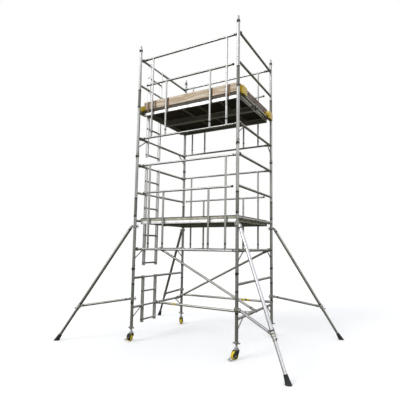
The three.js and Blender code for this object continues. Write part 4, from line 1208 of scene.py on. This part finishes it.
def stabiliser(corner):
    down = Vector(JOINTS[f"stabiliser_{corner}_extend"]["axis"])
    slope = math.hypot(down.x, down.y) / -down.z
    reach = STAY_PIVOT + STAY_TOP * slope
    place = Matrix.Translation(STATION[corner]) @ Matrix.Rotation(math.atan2(down.y, down.x), 4, "Z")
    top = Vector((STAY_PIVOT, 0, STAY_TOP))
    foot = Vector((reach, 0, 0))
    along = (foot - top).normalized()
    length = (foot - top).length
    stay, foot_body = f"stay_{corner}", f"stay_foot_{corner}"
    handle_side = -1 if STATION[corner].x * STATION[corner].y > 0 else 1
    # The front right stabiliser takes the lighter copy of the stay metal: painted highlight.
    metal = "stay_painted_highlight" if corner == "front_right" else "stay"

    def at(distance):
        return top + along * distance

    tube, arm, couplers, bands = Shell(place), Shell(place), Shell(place), Shell(place)
    pipe(tube, at(0.02), at(STAY_TUBE), STAY_R, 0.0026, metal, 40)
    ring_band(tube, at(STAY_TUBE - 0.035), at(STAY_TUBE), STAY_R - 0.001, STAY_R + 0.0016, "claw", 40)
    nose = [(0.014, 0), (0.021, 0.2), (0.0246, 0.5), (0.0246, 1)]
    solid_turned(tube, at(-0.004), at(0.055), nose, "claw", 28)
    ring_band(bands, at(0.056), at(0.078), STAY_R, STAY_R + 0.0012, "black", 40)
    ring_band(bands, at(STAY_COLLAR - 0.06), at(STAY_COLLAR - 0.04), STAY_R, STAY_R + 0.0009, "black", 40)
    stay_clamp(couplers, STAY_TOP, handle_side, STAY_PIVOT + 0.004)
    stay_clamp(couplers, STAY_LOW, handle_side, 0.06)
    collar = [(STAY_R + 0.0004, 0), (0.0315, 0), (0.034, 0.1), (0.034, 0.32), (0.0315, 0.38), (0.0315, 0.62),
              (0.034, 0.68), (0.034, 0.9), (0.0315, 1), (STAY_R + 0.0004, 1)]
    seat, collar_length = toward(at(STAY_COLLAR - 0.028), at(STAY_COLLAR + 0.028))
    couplers.add(turned([(r, z * collar_length) for r, z in collar], 40, ring=True), "coupler", seat)
    arm_start, joint = Vector((0.052, 0, STAY_LOW)), at(STAY_COLLAR)
    arm_along = (joint - arm_start).normalized()
    pipe(arm, arm_start + arm_along * 0.02, joint - arm_along * 0.045, ARM_R, RAIL_WALL, metal, 32)
    root = [(0.01, 0), (0.0165, 0.25), (ARM_R - 0.0005, 0.6), (ARM_R - 0.0005, 1)]
    solid_turned(arm, arm_start, arm_start + arm_along * 0.045, root, "claw", 28)
    tip = [(ARM_R + 0.0019, 0), (ARM_R + 0.0019, 0.5), (0.017, 0.8), (0.0135, 1)]
    solid_turned(arm, joint - arm_along * 0.07, joint - arm_along * 0.0305, tip, "claw", 28)
    for point in (arm_start + arm_along * 0.05, joint - arm_along * 0.09):
        ring_band(bands, point, point + arm_along * 0.018, ARM_R, ARM_R + 0.001, "black", 32)
    across = Vector((0, 1, 0))
    pivots = ((at(0.012), 0.018), (arm_start + arm_along * 0.006, 0.017))
    pivots += ((joint - arm_along * 0.05, ARM_R + 0.002),)
    for centre, width in pivots:
        rod(couplers, centre - across * width, centre + across * width, 0.005, "bolt", 14)
        for side in (-1, 1):
            hex_head(couplers, centre + across * side * width, across * side, 0.0075, 0.006)
    knob = at(STAY_TUBE - 0.018)
    outward = along.cross(across)
    outward = outward if outward.z > 0 else -outward
    spring_knob(couplers, knob + outward * STAY_R, outward)
    tube.piece(f"stabiliser_tube_{corner}_outer", stay, [f"stabiliser_tube_{corner}"], "rail_aluminium")
    arm.piece(f"stabiliser_arm_{corner}_strut", stay, [f"stabiliser_arm_{corner}"], "rail_aluminium")
    couplers.piece(f"stabiliser_couplers_{corner}", stay)
    bands.piece(f"stabiliser_bands_{corner}", stay)

    inner, boot = Shell(place), Shell(place)
    pipe(inner, at(STAY_TUBE - 0.3), at(length - 0.06), STAY_INNER_R, 0.002, metal, 36)
    for number in range(3):
        spot = at(STAY_TUBE + 0.12 + number * 0.12)
        if (spot - top).length < length - BOOT_LENGTH - 0.03:
            dome(inner, spot + outward * STAY_INNER_R, outward, 0.0045, 0.0008, "black")
    rubber_boot(boot, at, length, along)
    foot_node = f"stabiliser_foot_{corner}"
    inner.piece(f"{foot_node}_inner_tube", foot_body, [foot_node], "rail_aluminium")
    boot.piece(f"{foot_node}_boot", foot_body)


def spring_knob(shell, root, outward):
    """The plunger that locks the telescopic foot."""
    housing = [(0.009, 0), (0.009, 0.6), (0.007, 1)]
    solid_turned(shell, root - outward * 0.002, root + outward * 0.012, housing, "bolt", 18)
    knob = [(0.006, 0), (0.0095, 0.3), (0.0095, 0.8), (0.007, 1)]
    solid_turned(shell, root + outward * 0.011, root + outward * 0.026, knob, "black", 18)


def rubber_boot(shell, at, length, along):
    """A ribbed rubber bell pushed on the tube, its sole flat on the floor."""
    start, end = at(length - BOOT_LENGTH), at(length + 0.03)
    place, span = toward(start, end)
    share = np.linspace(0, 1, 31)
    reach = BOOT_TOP_R + (BOOT_SOLE_R - BOOT_TOP_R) * share ** 1.15
    reach = reach + np.where(share < 0.72, 0.0018 * np.sin(share * 2 * math.pi * 8.5), 0)
    loops = [flat(circle(STAY_INNER_R + 0.0002, 40), 0.012), flat(circle(STAY_INNER_R + 0.0002, 40), 0)]
    loops += [flat(circle(r, 40), s * span) for r, s in zip(reach, share)]
    matrix = np.array(place)
    points = np.array(loops) @ matrix[:3, :3].T + matrix[:3, 3]
    below = np.minimum(points[..., 2], 0) / along.z
    points = points - below[..., None] * np.array(along)
    _, faces = loft(loops)
    shell.add((points.reshape(-1, 3), faces), "rubber")


for corner in CORNERS:
    stabiliser(corner)


# ---------------------------------------------------------------- camera, floor and light
def camera():
    """At eye height off the front right corner, looking slightly up."""
    azimuth, elevation, roll = 0.469, -0.101, 0.009
    level = Vector((math.sin(azimuth), -math.cos(azimuth), 0))
    back = level * math.cos(elevation) + UP * math.sin(elevation)
    right = UP.cross(back).normalized()
    upward = back.cross(right)
    turned_right = right * math.cos(roll) + upward * math.sin(roll)
    turned_up = upward * math.cos(roll) - right * math.sin(roll)
    data = bpy.data.cameras.new("camera")
    data.lens, data.sensor_width = 31.51, 36.0
    data.shift_x, data.shift_y = -0.0710, 0.0244
    made = bpy.data.objects.new("camera", data)
    made.matrix_world = Matrix((turned_right, turned_up, back)).transposed().to_4x4()
    made.location = (3.268, -5.525, 1.652)
    bpy.context.scene.collection.objects.link(made)
    bpy.context.scene.camera = made


def floor():
    mesh = bpy.data.meshes.new("floor")
    half = 60
    corners = [(-half, -half, 0), (half, -half, 0), (half, half, 0), (-half, half, 0)]
    mesh.from_pydata(corners, [], [(0, 1, 2, 3)])
    made = bpy.data.objects.new("floor", mesh)
    made.location.z = -0.0005
    look = bpy.data.materials.new("pale_floor")
    look.use_nodes = True
    tree = look.node_tree
    shader = tree.nodes["Principled BSDF"]
    noise = tree.nodes.new("ShaderNodeTexNoise")
    noise.inputs["Scale"].default_value = 2.0
    ramp = tree.nodes.new("ShaderNodeValToRGB")
    ramp.color_ramp.elements[0].color = (0.84, 0.84, 0.84, 1)
    ramp.color_ramp.elements[1].color = (0.88, 0.88, 0.88, 1)
    tree.links.new(noise.outputs["Fac"], ramp.inputs["Fac"])
    tree.links.new(ramp.outputs["Color"], shader.inputs["Base Color"])
    shader.inputs["Roughness"].default_value = 0.9
    shader.inputs["Specular IOR Level"].default_value = 0.1
    shader.inputs["Emission Color"].default_value = (1, 1, 1, 1)
    shader.inputs["Emission Strength"].default_value = 0.22
    mesh.materials.append(look)
    bpy.context.scene.collection.objects.link(made)
    made.visible_diffuse = False
    made.visible_glossy = False


def lamp(name, kind, place, target, energy, **settings):
    data = bpy.data.lights.new(name, kind)
    data.energy = energy
    for setting, value in settings.items():
        setattr(data, setting, value)
    made = bpy.data.objects.new(name, data)
    made.location = place
    made.rotation_euler = (Vector(target) - Vector(place)).to_track_quat("-Z", "Y").to_euler()
    bpy.context.scene.collection.objects.link(made)


# Brightness of the dome on the object, from straight down (0) past the horizon (0.5) to straight up (1).
DOME = (
    (0.01, (0.05, 0.05, 0.03)), (0.44, (0.065, 0.064, 0.042)), (0.52, (0.2, 0.2, 0.165)),
    (0.6, (0.56, 0.56, 0.545)), (0.7, (0.92, 0.93, 0.96)), (0.84, (0.66, 0.67, 0.7)),
    (0.99, (0.42, 0.43, 0.45)),
)


def studio():
    """Soft light: a bright backdrop to the camera, a greyer dome on the object, and a soft key."""
    world = bpy.data.worlds.new("studio")
    bpy.context.scene.world = world
    world.use_nodes = True
    tree = world.node_tree
    tree.nodes.clear()
    out = tree.nodes.new("ShaderNodeOutputWorld")
    seen, dome_light = tree.nodes.new("ShaderNodeBackground"), tree.nodes.new("ShaderNodeBackground")
    seen.inputs["Color"].default_value = (1, 1, 1, 1)
    seen.inputs["Strength"].default_value = 1.0
    where = tree.nodes.new("ShaderNodeTexCoord")
    apart = tree.nodes.new("ShaderNodeSeparateXYZ")
    height = tree.nodes.new("ShaderNodeMapRange")
    height.inputs["From Min"].default_value = -1
    ramp = tree.nodes.new("ShaderNodeValToRGB")
    elements = ramp.color_ramp.elements
    for place, colour in DOME:
        element = elements.new(place)
        element.color = (*colour, 1)
    elements.remove(elements[0])
    elements.remove(elements[-1])
    tree.links.new(where.outputs["Generated"], apart.inputs["Vector"])
    tree.links.new(apart.outputs["Z"], height.inputs["Value"])
    tree.links.new(height.outputs["Result"], ramp.inputs["Fac"])
    tree.links.new(ramp.outputs["Color"], dome_light.inputs["Color"])
    dome_light.inputs["Strength"].default_value = 1.25
    path = tree.nodes.new("ShaderNodeLightPath")
    pick = tree.nodes.new("ShaderNodeMixShader")
    tree.links.new(path.outputs["Is Camera Ray"], pick.inputs["Fac"])
    tree.links.new(dome_light.outputs["Background"], pick.inputs[1])
    tree.links.new(seen.outputs["Background"], pick.inputs[2])
    tree.links.new(pick.outputs["Shader"], out.inputs["Surface"])
    middle = (0, 0, 2.5)
    lamp("key", "SUN", (-4, -8, 9), middle, 1.1, angle=math.radians(25))
    lamp("side", "AREA", (7, -5, 4), (0.5, -0.5, 2.2), 60, size=2.5, shape="RECTANGLE", size_y=5)


camera()
floor()
studio()
bpy.context.scene.view_settings.view_transform = "Standard"
